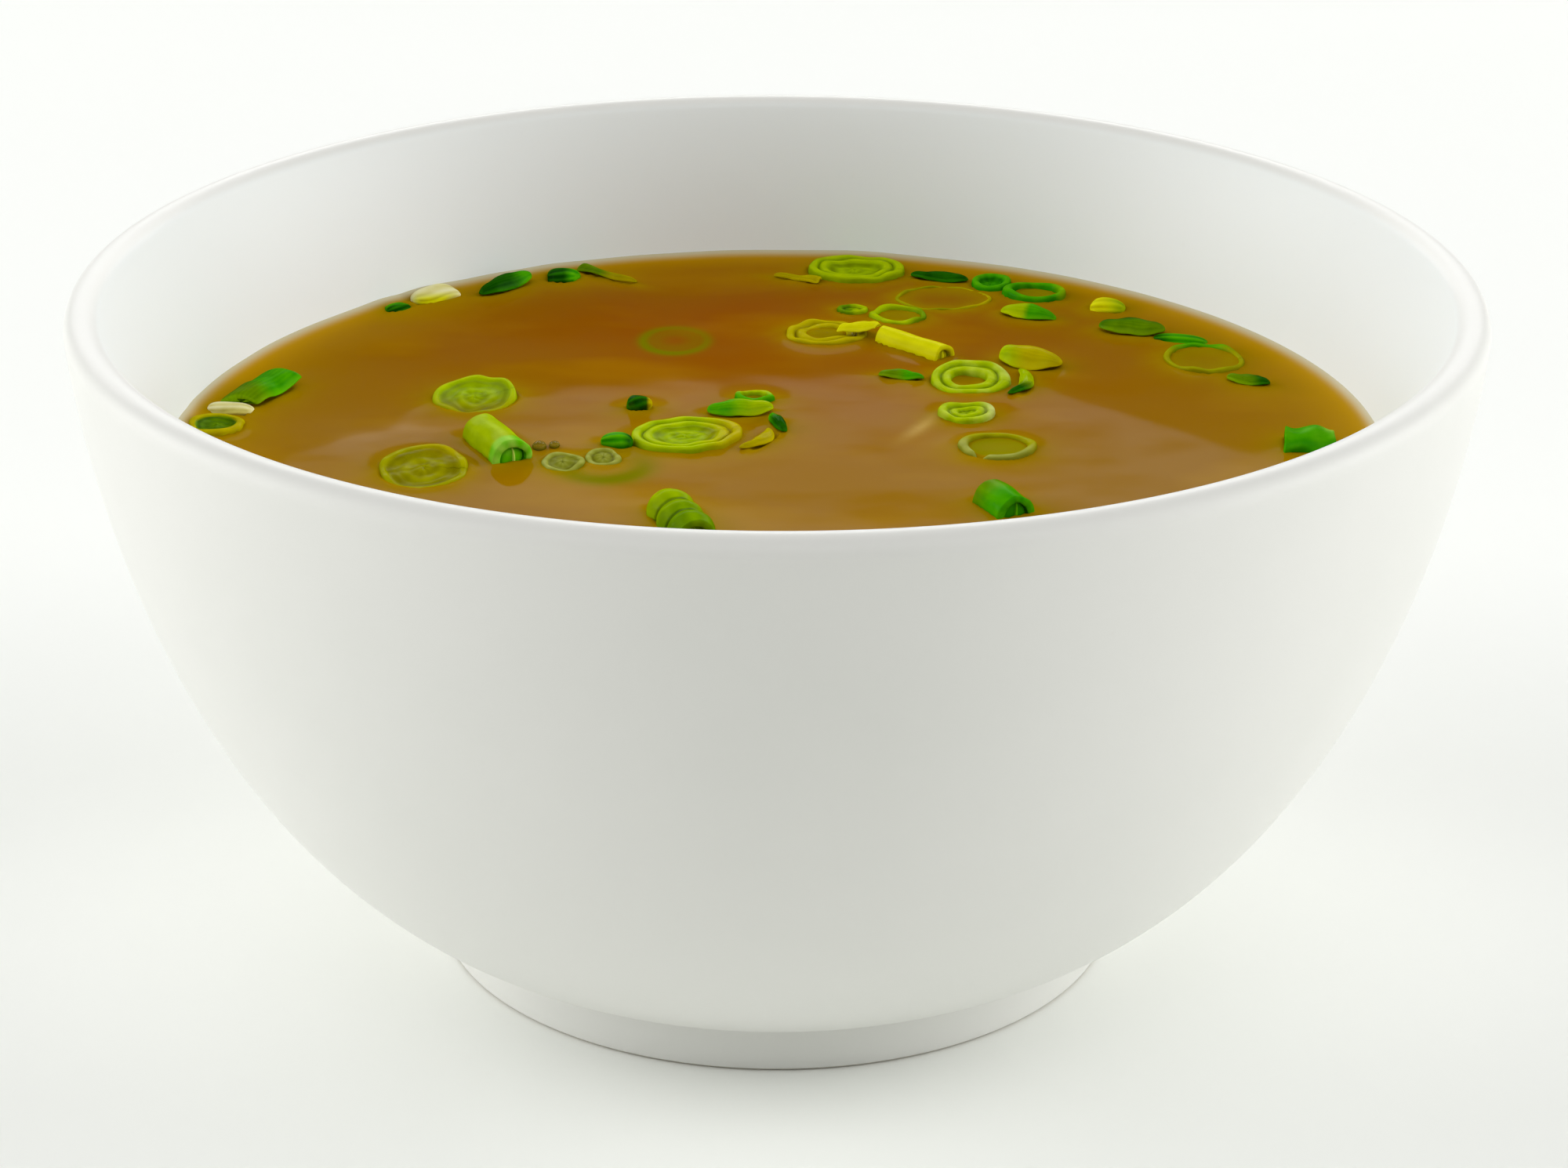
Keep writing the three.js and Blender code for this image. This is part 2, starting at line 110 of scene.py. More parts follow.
@dataclass
class Surface:
    """A closed mesh in millimetres, with named numbers at every corner."""

    corners: Array
    quads: Array
    triangles: Array
    marks: dict[str, Array] = field(default_factory=dict)

    @classmethod
    def shell(cls, points: Array, marks: Mapping[str, Array | float]) -> "Surface":
        """Closes a stack of rings: the first and last row of the grid each shrink to one pole.

        Args:
            points: grid of rows by columns by xyz, where the columns run round.
            marks: named numbers, each drawn out to the grid.

        Returns:
            The closed surface, faces outwards.
        """
        rows, columns = points.shape[:2]

        def gathered(grid: Array) -> Array:
            """The poles' means before and after the flattened rows between them."""
            middle = grid[1:-1].reshape((rows - 2) * columns, *grid.shape[2:])
            return np.concatenate([grid[:1].mean(1), middle, grid[-1:].mean(1)])

        ring = np.arange(columns)
        after = (ring + 1) % columns
        row = 1 + columns * np.arange(rows - 3)[:, None]
        quads = np.stack([row + ring, row + after, row + columns + after, row + columns + ring], -1)
        last = 1 + columns * (rows - 3)
        first_cap = side_by_side(0, 1 + after, 1 + ring)
        last_cap = side_by_side(last + columns, last + ring, last + after)
        caps = np.concatenate([first_cap, last_cap])
        named = {name: gathered(np.broadcast_to(mark, (rows, columns))) for name, mark in marks.items()}
        return cls(gathered(points), quads.reshape(-1, 4), caps, named).outward()

    @classmethod
    def tyre(cls, points: Array, marks: Mapping[str, Array | float]) -> "Surface":
        """Closes a grid both ways, as the skin of a tyre is closed.

        Args:
            points: grid of rows by columns by xyz.
            marks: named numbers, each drawn out to the grid.

        Returns:
            The closed surface, faces outwards.
        """
        shape = points.shape[:2]
        index = np.arange(shape[0] * shape[1]).reshape(shape)
        beside = np.roll(index, -1, 1)
        quads = np.stack([index, beside, np.roll(beside, -1, 0), np.roll(index, -1, 0)], -1)
        named = {name: np.broadcast_to(mark, shape).reshape(-1) for name, mark in marks.items()}
        none = np.zeros((0, 3), int)
        return cls(points.reshape(-1, 3), quads.reshape(-1, 4), none, named).outward()

    def outward(self) -> "Surface":
        """Turns every face round where the signed volume is below zero."""
        first = self.corners[self.quads[:, 0]]
        across = self.corners[self.quads[:, 2]] - first
        twice = np.cross(self.corners[self.quads[:, 1]] - first, across)
        twice += np.cross(across, self.corners[self.quads[:, 3]] - first)
        volume = float((first * twice).sum())
        if len(self.triangles):
            a, b, c = (self.corners[self.triangles[:, i]] for i in range(3))
            volume += float((a * np.cross(b, c)).sum())
        if volume < 0:
            self.quads = self.quads[:, ::-1]
            self.triangles = self.triangles[:, ::-1]
        return self

    def to_object(self, name: str, material: bpy.types.Material) -> bpy.types.Object:
        """Writes the surface into a new object at the origin, shaded smooth.

        Args:
            name: the object's name.
            material: its finish.

        Returns:
            The object, linked to the scene.
        """
        mesh = bpy.data.meshes.new(name)
        mesh.vertices.add(len(self.corners))
        mesh.vertices.foreach_set("co", (self.corners * MM).astype(np.float32).ravel())
        corners = np.concatenate([self.quads.ravel(), self.triangles.ravel()])
        sizes = np.concatenate([np.full(len(self.quads), 4), np.full(len(self.triangles), 3)])
        mesh.loops.add(len(corners))
        mesh.loops.foreach_set("vertex_index", corners.astype(np.int32))
        mesh.polygons.add(len(sizes))
        starts = np.concatenate([[0], np.cumsum(sizes)[:-1]])
        mesh.polygons.foreach_set("loop_start", starts.astype(np.int32))
        mesh.polygons.foreach_set("loop_total", sizes.astype(np.int32))
        mesh.update(calc_edges=True)
        mesh.shade_smooth()
        for mark, values in self.marks.items():
            layer = mesh.attributes.new(mark, "FLOAT", "POINT")
            layer.data.foreach_set("value", values.astype(np.float32))
        mesh.materials.append(material)
        piece = bpy.data.objects.new(name, mesh)
        bpy.context.scene.collection.objects.link(piece)
        return piece


# ---------------------------------------------------------------- finishes


def linear(colour: Colour) -> tuple[float, float, float, float]:
    """The linear colour that a screen shows as these 0 to 255 levels."""
    levels = (level / 255 for level in colour)
    red, green, blue = (v / 12.92 if v <= 0.04045 else ((v + 0.055) / 1.055) ** 2.4 for v in levels)
    return red, green, blue, 1.0


class Signal:
    """One socket's output, on which arithmetic adds Math nodes."""

    def __init__(self, tree: bpy.types.NodeTree, socket: bpy.types.NodeSocket) -> None:
        """Keeps the tree and the socket that the value comes out of."""
        self.tree = tree
        self.socket = socket

    def _math(self, operation: str, *operands: "Signal | float") -> "Signal":
        """Adds a Math node.

        Args:
            operation: the node's operation.
            operands: its inputs in order, links or numbers.

        Returns:
            The node's result.
        """
        made = self.tree.nodes.new("ShaderNodeMath")
        made.operation = operation
        for socket, operand in zip(made.inputs, operands):
            if isinstance(operand, Signal):
                self.tree.links.new(operand.socket, socket)
            else:
                socket.default_value = operand
        return Signal(self.tree, made.outputs[0])

    def __add__(self, other: "Signal | float") -> "Signal":
        """The sum."""
        return self._math("ADD", self, other)

    __radd__ = __add__

    def __mul__(self, other: "Signal | float") -> "Signal":
        """The product."""
        return self._math("MULTIPLY", self, other)

    __rmul__ = __mul__

    def __sub__(self, other: "Signal | float") -> "Signal":
        """This less the other."""
        return self._math("SUBTRACT", self, other)

    def __rsub__(self, other: "Signal | float") -> "Signal":
        """The other less this."""
        return self._math("SUBTRACT", other, self)

    def __rpow__(self, base: "Signal | float") -> "Signal":
        """The base to the power of this."""
        return self._math("POWER", base, self)

    def __lt__(self, other: "Signal | float") -> "Signal":
        """1 where this is below the other, else 0."""
        return self._math("LESS_THAN", self, other)

    def sine(self) -> "Signal":
        """The sine, in radians."""
        return self._math("SINE", self)

    def clamped(self) -> "Signal":
        """This held between 0 and 1."""
        return self._math("MINIMUM", self._math("MAXIMUM", self, 0.0), 1.0)


class Recipe:
    """The node tree of one material."""

    def __init__(self, name: str) -> None:
        """Starts an empty material of that name."""
        self.material = bpy.data.materials.new(name)
        self.material.use_nodes = True
        self.tree = self.material.node_tree
        self.tree.nodes.clear()

    def node(
        self,
        kind: str,
        settings: Mapping[str, Any] | None = None,
        inputs: Mapping[str | int, Any] | None = None,
        output: str | int = 0,
    ) -> Signal:
        """Adds any node but Math.

        Args:
            kind: the node's type.
            settings: its properties, set first.
            inputs: value or link of each input, by name or number.
            output: the output to hand back, by name or number.

        Returns:
            That output.
        """
        made = self.tree.nodes.new(kind)
        for key, value in (settings or {}).items():
            setattr(made, key, value)
        for key, value in (inputs or {}).items():
            if isinstance(value, Signal):
                self.tree.links.new(value.socket, made.inputs[key])
            else:
                made.inputs[key].default_value = value
        return Signal(self.tree, made.outputs[output])

    def mark(self, name: str) -> Signal:
        """The number that the mesh carries under that name."""
        return self.node("ShaderNodeAttribute", {"attribute_name": name}, output="Fac")

    def place(self) -> Signal:
        """The place on the object, in metres."""
        return self.node("ShaderNodeTexCoord", output="Object")

    def noise(self, scale: float, detail: float, stretch: tuple[float, ...] = (1, 1, 1)) -> Signal:
        """Cloudy noise over the object's place.

        Args:
            scale: lumps in a metre.
            detail: octaves.
            stretch: extra scale along each axis.

        Returns:
            The noise, from 0 to 1.
        """
        place = self.node("ShaderNodeMapping", inputs={"Vector": self.place(), "Scale": stretch})
        inputs = {"Vector": place, "Scale": scale, "Detail": detail}
        return self.node("ShaderNodeTexNoise", inputs=inputs)

    def layered(self, ground: Colour, *layers: tuple[Signal, Colour]) -> Signal:
        """Lays colours over a ground one after the other.

        Args:
            ground: the colour at the bottom, in 0 to 255 levels.
            layers: the share of each layer, and its colour.

        Returns:
            The colour on top.
        """
        colour = linear(ground)
        for share, layer in layers:
            colour = self.mixed(share, colour, linear(layer))
        return colour

    def mixed(self, share: Signal, first: Any, second: Any) -> Signal:
        """Mixes two colours.

        Args:
            share: 0 for the first, 1 for the second.
            first: a link or a linear colour.
            second: the same.

        Returns:
            The mixed colour.
        """
        # Input 0 is a Mix node's factor; inputs 6 and 7 and output 2 are its sockets for colours.
        inputs = {0: share, 6: first, 7: second}
        return self.node("ShaderNodeMix", {"data_type": "RGBA"}, inputs, output=2)

    def bump(self, height: Signal, depth: float) -> Signal:
        """A normal bent by a height, whose 0 to 1 stands for depth metres."""
        return self.node("ShaderNodeBump", inputs={"Height": height, "Distance": depth})

    def finished(self, inputs: Mapping[str, Any]) -> bpy.types.Material:
        """Ends the tree in one Principled shader.

        Args:
            inputs: value or link of each of its sockets.

        Returns:
            The material.
        """
        shader = self.node("ShaderNodeBsdfPrincipled", inputs=inputs)
        end = self.tree.nodes.new("ShaderNodeOutputMaterial")
        self.tree.links.new(shader.socket, end.inputs["Surface"])
        return self.material


@dataclass(frozen=True)
class Porcelain:
    """White glaze pooled in long soft waves; painted light inside and painted shade on the lip; bare clay
    under the foot.
    """

    glaze: Colour = (237, 237, 232)
    # painted light: the inside's glaze is lighter than the outside's
    inside: Colour = (243, 248, 247)
    pooled: Colour = (231, 232, 226)
    # painted shade over the top of the lip, to dim its highlight
    crown: Colour = (231, 231, 226)
    clay: Colour = (214, 208, 194)
    clay_height: float = 0.25
    roughness: float = 0.36
    specular: float = 0.16
    wave_depth: float = 0.06

    def material(self) -> bpy.types.Material:
        """The finish as a material."""
        recipe = Recipe("porcelain")
        pools = recipe.noise(28.0, 3.0)
        height = recipe.node("ShaderNodeSeparateXYZ", inputs={"Vector": recipe.place()}, output="Z")
        bare = height < self.clay_height * MM
        specks = ((recipe.noise(900.0, 2.0) - 0.74).clamped() * 2.0).clamped()
        waves = recipe.noise(60.0, 2.0) * 0.7 + recipe.noise(420.0, 1.0) * 0.3
        colour = recipe.layered(
            self.glaze,
            ((pools - 0.45).clamped() * 1.6, self.pooled),
            # Painted light: the inside is lighter than the outside.
            (recipe.mark("inside"), self.inside),
            # Painted shade: the top of the lip darker, to dim its highlight.
            (recipe.mark("crown"), self.crown),
            (specks * 0.3, self.clay),
            (bare, self.clay),
        )
        return recipe.finished(
            {
                "Base Color": colour,
                "Roughness": self.roughness + 0.06 * pools + 0.3 * bare,
                "Normal": recipe.bump(waves, self.wave_depth * MM),
                "IOR": 1.5,
                "Specular IOR Level": self.specular,
            }
        )


@dataclass(frozen=True)
class BrothFinish:
    """Amber broth: reddish towards the back, golden where it is thin, and more widely so at the sides as
    painted light, and pale where it wets the wall.

    Its only gloss is a faint coat, the sheen, patchy as the thin film of fat on broth is.
    """

    deep: Colour = (152, 107, 0)
    reddish: Colour = (146, 80, 0)
    golden: Colour = (197, 149, 0)
    wetting: Colour = (204, 196, 164)
    halo: Colour = (164, 132, 0)
    flesh: Colour = (138, 142, 0)
    sunk: Colour = (120, 122, 0)
    smear: Colour = (206, 172, 84)
    wetting_reach: float = 0.7
    sheen: float = 0.024
    ripple_depth: float = 0.01

    def material(self) -> bpy.types.Material:
        """The finish as a material, which reads the marks that the broth's mesh carries."""
        recipe = Recipe("broth")
        cloud = recipe.noise(45.0, 3.0)
        fine = recipe.noise(420.0, 2.0)
        pools = ((recipe.noise(34.0, 3.0, (1, 1.7, 1)) - 0.5) * 4.0).clamped()
        patches = ((recipe.noise(62.0, 4.0, (1, 1.6, 1)) - 0.36) * 5.0).clamped()
        rim = recipe.mark("rim")
        wet = math.e ** (rim * rim * (-1.0 / self.wetting_reach**2))
        halo = (recipe.mark("halo") * (0.6 + 0.8 * fine)).clamped()
        sunk = recipe.mark("sunk").clamped()
        flesh = recipe.mark("flesh").clamped()
        clear = (1.0 - halo) * (1.0 - sunk) * (1.0 - flesh) * recipe.mark("film")
        colour = recipe.layered(
            self.deep,
            ((recipe.mark("warm") * (0.45 + 1.1 * cloud)).clamped(), self.reddish),
            (pools * 0.3, self.golden),
            # Golden where the broth is thin by the wall, and wider at the sides as painted light.
            (recipe.mark("thin"), self.golden),
            (halo, self.halo),
            (sunk, self.sunk),
            ((flesh * (0.7 + 0.5 * fine)).clamped(), self.flesh),
            ((recipe.mark("smear") * (0.7 + 0.6 * fine)).clamped(), self.smear),
            (wet.clamped(), self.wetting),
        )
        return recipe.finished(
            {
                "Base Color": colour,
                "Roughness": 0.3,
                "Normal": recipe.bump(cloud * 0.7 + fine * 0.3, self.ripple_depth * MM),
                "Specular IOR Level": 0.0,
                "Coat Weight": self.sheen * clear * (0.35 + 0.75 * patches),
                "Coat IOR": 2.5,
                "Coat Roughness": 0.06,
            }
        )


@dataclass(frozen=True)
class Palette:
    """One kind of onion flesh: its colour in painted shade, all over it, and on its cut edges."""

    painted_shade: Colour
    flesh: Colour
    edge: Colour


class Tint(Enum):
    """The kinds of onion flesh that float on the broth."""

    DARK = Palette((0, 34, 0), (14, 72, 0), (44, 122, 0))
    MOSS = Palette((44, 74, 0), (86, 124, 0), (124, 164, 0))
    BRIGHT = Palette((8, 88, 0), (50, 146, 0), (96, 184, 0))
    VIVID = Palette((44, 134, 0), (96, 192, 0), (196, 230, 96))
    LIME = Palette((98, 112, 0), (150, 176, 0), (188, 208, 0))
    GOLD = Palette((120, 96, 0), (170, 156, 0), (198, 184, 0))
    YELLOW = Palette((158, 136, 0), (208, 206, 0), (232, 230, 20))
    OLIVE = Palette((106, 96, 0), (142, 138, 0), (172, 172, 0))
    GLASSY = Palette((98, 98, 0), (134, 138, 36), (178, 182, 86))
    CREAM = Palette((178, 160, 50), (228, 220, 146), (246, 242, 196))


@dataclass(frozen=True)
class Look:
    """How a piece is coloured: one tint, that may pass into a second one across the piece."""

    tint: Tint
    second: Tint | None = None
    toward: float | None = None  # the second lies this way, in degrees from +X; without it, outwards
    start: float = -0.3
    end: float = 0.3

    def shares(self, offsets: Array) -> Array:
        """How far each corner is into the second tint.

        Args:
            offsets: corners from the piece's middle, xyz rows.

        Returns:
            A number from 0 to 1 for each corner.
        """
        if self.second is None:
            return np.zeros(len(offsets))
        reach = np.hypot(offsets[:, 0], offsets[:, 1])
        if self.toward is None:
            along = reach
        else:
            angle = math.radians(self.toward)
            along = offsets[:, 0] * math.cos(angle) + offsets[:, 1] * math.sin(angle)
        return smooth(self.start, self.end, along / reach.max())


@dataclass(frozen=True)
class OnionFinish:
    """Wet spring onion, whose mesh carries a tone from painted shade through flesh to its pale cut edges.
    """

    look: Look
    vein_count: float = 9.0
    relief_depth: float = 0.1

    def _flesh(self, recipe: Recipe, tone: Signal, palette: Palette) -> Signal:
        """The colour of one kind of flesh: painted shade at tone 0, flesh at a half, cut edge at 1."""
        to_flesh, to_edge = (2.0 * tone).clamped(), (2.0 * tone - 1.0).clamped()
        return recipe.layered(palette.painted_shade, (to_flesh, palette.flesh), (to_edge, palette.edge))

    def material(self) -> bpy.types.Material:
        """The finish as a material."""
        second = self.look.second or self.look.tint
        recipe = Recipe(f"onion_{self.look.tint.name}_{second.name}".lower())
        blotches = recipe.noise(520.0, 3.0)
        grains = recipe.noise(2400.0, 2.0)
        veins = (recipe.mark("across") * (2.0 * math.pi * self.vein_count)).sine()
        tone = (recipe.mark("tone") + 0.5 * (blotches - 0.5) + 0.05 * veins).clamped()
        colour = self._flesh(recipe, tone, self.look.tint.value)
        if self.look.second is not None:
            share = (recipe.mark("second") + 0.3 * (blotches - 0.5)).clamped()
            colour = recipe.mixed(share, colour, self._flesh(recipe, tone, second.value))
        relief = blotches * 0.6 + grains * 0.25 + veins * 0.08
        return recipe.finished(
            {
                "Base Color": colour,
                "Roughness": 0.32 + 0.2 * grains,
                "Normal": recipe.bump(relief, self.relief_depth * MM),
                "IOR": 1.4,
                "Specular IOR Level": 0.0,
                "Coat Weight": 0.03,
                "Coat Roughness": 0.12,
            }
        )


def bubble_material() -> bpy.types.Material:
    """A clear film of broth, which shows most where it is seen edge on, at the foot of its dome."""
    recipe = Recipe("bubble")
    swirl = recipe.noise(1500.0, 1.0)
    foot = recipe.mark("foot")
    return recipe.finished(
        {
            "Base Color": recipe.layered((176, 152, 30), (foot, (96, 92, 0))),
            "Roughness": 0.12,
            "Alpha": 0.2 + 0.15 * swirl + 0.6 * foot,
            "IOR": 1.33,
            "Specular IOR Level": 0.06,
        }
    )


def floor_material() -> bpy.types.Material:
    """Plain pale paper with the faintest mottle."""
    recipe = Recipe("floor")
    mottle = recipe.noise(6.0, 2.0)
    return recipe.finished(
        {
            "Base Color": recipe.layered((250, 251, 248), (mottle, (247, 249, 245))),
            "Roughness": 0.9 + 0.05 * mottle,
            "Specular IOR Level": 0.1,
        }
    )


# ---------------------------------------------------------------- the bowl and the broth


@dataclass(frozen=True)
class Bowl:
    """The footed porcelain bowl, a profile carried once round the upright axis."""

    height: float = 75.0
    rim_radius: float = 75.0
    lip_radius: float = 2.0
    foot_radius: float = 37.8
    foot_top_radius: float = 39.3
    foot_height: float = 5.6
    foot_width: float = 3.8
    foot_round: float = 0.6
    foot_lean: float = 8.0  # how far its outer face leans outwards, in degrees
    foot_draft: float = 0.2  # how far its inner face leans in
    recess_height: float = 3.0
    recess_fillet: float = 1.4
    recess_rings: tuple[float, ...] = (0.0, 8.0, 16.0, 24.0, 31.8)  # radii on the recess's level ceiling
    throat_offset: tuple[float, float] = (0.5, -0.3)  # from the foot's top edge
    throat_round: float = 0.62
    throat_turn: tuple[float, float] = (190.0, 118.0)
    outer_start: float = 27.0
    outer_lean: float = 5.3
    outer_reach: float = 25.0
    inner_lean: float = 25.3
    inner_reach: float = 27.6
    floor_radius: float = 14.0
    floor_height: float = 10.5
    floor_reach: float = 49.0
    floor_rings: tuple[float, ...] = (9.0, 4.0, 0.0)  # radii on the level floor
    crown_shade_span: tuple[float, float] = (1.0, 0.1)  # painted shade on the lip: depths under the top where it starts, and where it is full
    wall_start: float = 0.012  # the outer curve's place where the throat ends
    outer_rows: int = 64
    inner_rows: int = 72
    lip_rows: int = 24
    arc_rows: int = 8
    around: int = 288

    def outer_wall(self, t: Array) -> Array:
        """The outer wall from the foot to the lip: a cubic curve whose ends have set directions."""
        start, lean = math.radians(self.outer_start), math.radians(self.outer_lean)
        lip = self.height - self.lip_radius
        reach = self.outer_reach
        foot = (self.foot_top_radius, self.foot_height)
        return bezier(
            [
                foot,
                (foot[0] + reach * math.cos(start), foot[1] + reach * math.sin(start)),
                (self.rim_radius - reach * math.sin(lean), lip - reach * math.cos(lean)),
                (self.rim_radius, lip),
            ],
            t,
        )

    def inner_wall(self, t: Array) -> Array:
        """The inner wall down to the floor: a cubic curve that leaves the round lip along its tangent."""
        lean = math.radians(self.inner_lean)
        start = self.rim_radius - self.lip_radius * (1 + math.cos(lean))
        top = self.height - self.lip_radius * (1 - math.sin(lean))
        return bezier(
            [
                (start, top),
                (start - self.inner_reach * math.sin(lean), top - self.inner_reach * math.cos(lean)),
                (self.floor_radius + self.floor_reach, self.floor_height),
                (self.floor_radius, self.floor_height),
            ],
            t,
        )

    def _arc(
        self,
        centre: tuple[float, float],
        radius: float,
        start: float,
        end: float,
        rows: int | None = None,
    ) -> Array:
        """Points round part of a circle.

        Args:
            centre: the circle's middle, as radius and height.
            radius: its radius.
            start: the first point's angle, in degrees from outwards.
            end: the last point's angle.
            rows: how many points, if not the usual number.

        Returns:
            The points as (radius, height) rows.
        """
        angle = np.radians(np.linspace(start, end, rows or self.arc_rows))
        return side_by_side(centre[0] + radius * np.cos(angle), centre[1] + radius * np.sin(angle))

    def _foot(self) -> Array:
        """The profile under the bowl: the recess, its fillet, the foot ring's edges and the throat."""
        inner = self.foot_radius - self.foot_width
        soft, fillet = self.foot_round, self.recess_fillet
        corner = (inner - self.foot_draft - fillet, self.recess_height - fillet)
        throat = (self.foot_top_radius + self.throat_offset[0], self.foot_height + self.throat_offset[1])
        return np.concatenate(
            [
                side_by_side(self.recess_rings, self.recess_height),
                self._arc(corner, fillet, 90, 0),
                self._arc((inner + soft, soft), soft, 180, 270),
                self._arc((self.foot_radius - soft, soft), soft, 270, 360 - self.foot_lean),
                self._arc(throat, self.throat_round, *self.throat_turn),
            ]
        )

    def profile(self) -> Array:
        """The whole profile as (radius, height) rows, from the axis underneath to the axis inside."""
        middle = (self.rim_radius - self.lip_radius, self.height - self.lip_radius)
        lip = self._arc(middle, self.lip_radius, 0, 180 - self.inner_lean, self.lip_rows)[1:-1]
        wall = self.outer_wall(np.linspace(self.wall_start, 1, self.outer_rows))
        inside = self.inner_wall(np.linspace(0, 1, self.inner_rows))
        floor = side_by_side(self.floor_rings, self.floor_height)
        return np.concatenate([self._foot(), wall, lip, inside, floor])

    def surface(self) -> Surface:
        """Each profile point turned round the axis: x = r sin a, y = r cos a."""
        profile = self.profile()
        angle = full_turn(self.around)
        radius, height = profile[:, :1], profile[:, 1:]
        points = side_by_side(radius * np.sin(angle), radius * np.cos(angle), height)
        lip = self.rim_radius - self.lip_radius
        past = np.arange(len(profile))[:, None] > np.argmax(height)
        # Marks the inside for its painted light.
        inside = past * smooth(lip, lip - self.lip_radius, radius)
        # Marks the top of the lip for its painted shade.
        crown = smooth(*(self.height - depth for depth in self.crown_shade_span), height)
        return Surface.shell(points, {"inside": inside, "crown": crown})

    def build(self) -> bpy.types.Object:
        """The bowl as a piece that stands for its solid."""
        return dressed("bowl_glazed", self.surface(), Porcelain().material(), "bowl")


def dressed(
    name: str, surface: Surface, material: bpy.types.Material, node: str | None = None
) -> bpy.types.Object:
    """Makes a surface a piece that rides on the body.

    Args:
        name: the piece's name.
        surface: its shape.
        material: its finish.
        node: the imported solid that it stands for, if it stands for one.

    Returns:
        The piece.
    """
    piece = surface.to_object(name, material)
    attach(piece, BODY)
    if node is not None:
        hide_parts(node)
    faces = len(surface.quads) + len(surface.triangles)
    log.info("%s: %d corners, %d faces", name, len(surface.corners), faces)
    return piece


@dataclass(frozen=True)
class Footprint:
    """Where a floating piece meets the broth: a rounded outline, and its bore where it is open."""

    at: tuple[float, float]
    turn: float
    half_length: float
    half_width: float
    power: float = 2.0
    bore: float = 0.0  # the bore's share of the outline
    pull: float = 0.3  # how high the piece draws the broth up
    dip: float = 1.3  # how far the broth gives way under it
    flesh: float = 0.0  # how strongly its sunk flesh shows in the bore

    def distance(self, x: Array, y: Array) -> Array:
        """How far a place lies off the piece, in millimetres, and below 0 within it.

        With rho the outline's own radius there, 1 on the outline, it is r (1 - 1 / rho) outside, and
        r (bore / rho - 1) in the bore.

        Args:
            x: places from the left to the right.
            y: places away from the viewer.

        Returns:
            The distances.
        """
        angle = math.radians(self.turn)
        dx, dy = x - self.at[0], y - self.at[1]
        along = dx * math.cos(angle) + dy * math.sin(angle)
        across = dy * math.cos(angle) - dx * math.sin(angle)
        radius = np.hypot(along, across) + TINY
        shape = np.abs(along / self.half_length) ** self.power
        shape += np.abs(across / self.half_width) ** self.power
        rho = shape ** (1 / self.power) + TINY
        return np.maximum(radius * (1 - 1 / rho), radius * (self.bore / rho - 1))

    def bored(self, x: Array, y: Array) -> Array:
        """1 in the bore and 0 elsewhere, softly."""
        inside = np.hypot(x - self.at[0], y - self.at[1]) < self.half_length * self.bore
        return smooth(-0.1, 0.5, self.distance(x, y)) * inside


@dataclass(frozen=True)
class SunkRing:
    """A cut ring wholly under the broth, which shows through as a soft band of colour."""

    at: tuple[float, float]
    radius: float
    squash: float
    band: float
    strength: float
    start: float = 0.0  # the middle of its clearer side, in degrees from +X
    one_sided: float = 0.0

    def shown(self, x: Array, y: Array) -> Array:
        """How much of it shows at a place: a bell over the distance to its circle."""
        dx, dy = x - self.at[0], (y - self.at[1]) / self.squash
        radius = np.hypot(dx, dy)
        bell = np.exp(-(((radius - self.radius) / self.band) ** 2))
        side = 0.5 + 0.5 * np.cos(np.arctan2(dy, dx) - math.radians(self.start))
        return self.strength * bell * (1 - self.one_sided * (1 - side))


@dataclass(frozen=True)
class Patch:
    """A soft oval patch on the broth."""

    at: tuple[float, float]
    spread: tuple[float, float]
    strength: float = 1.0
    shear: float = 0.0  # how far it leans out of its own upright

    def shown(self, x: Array, y: Array) -> Array:
        """How much of it shows at a place: a bell over both distances from its middle."""
        dx, dy = x - self.at[0], y - self.at[1]
        across = (dx / self.spread[0]) ** 2
        upright = ((dy - self.shear * dx) / self.spread[1]) ** 2
        return self.strength * np.exp(-across - upright)


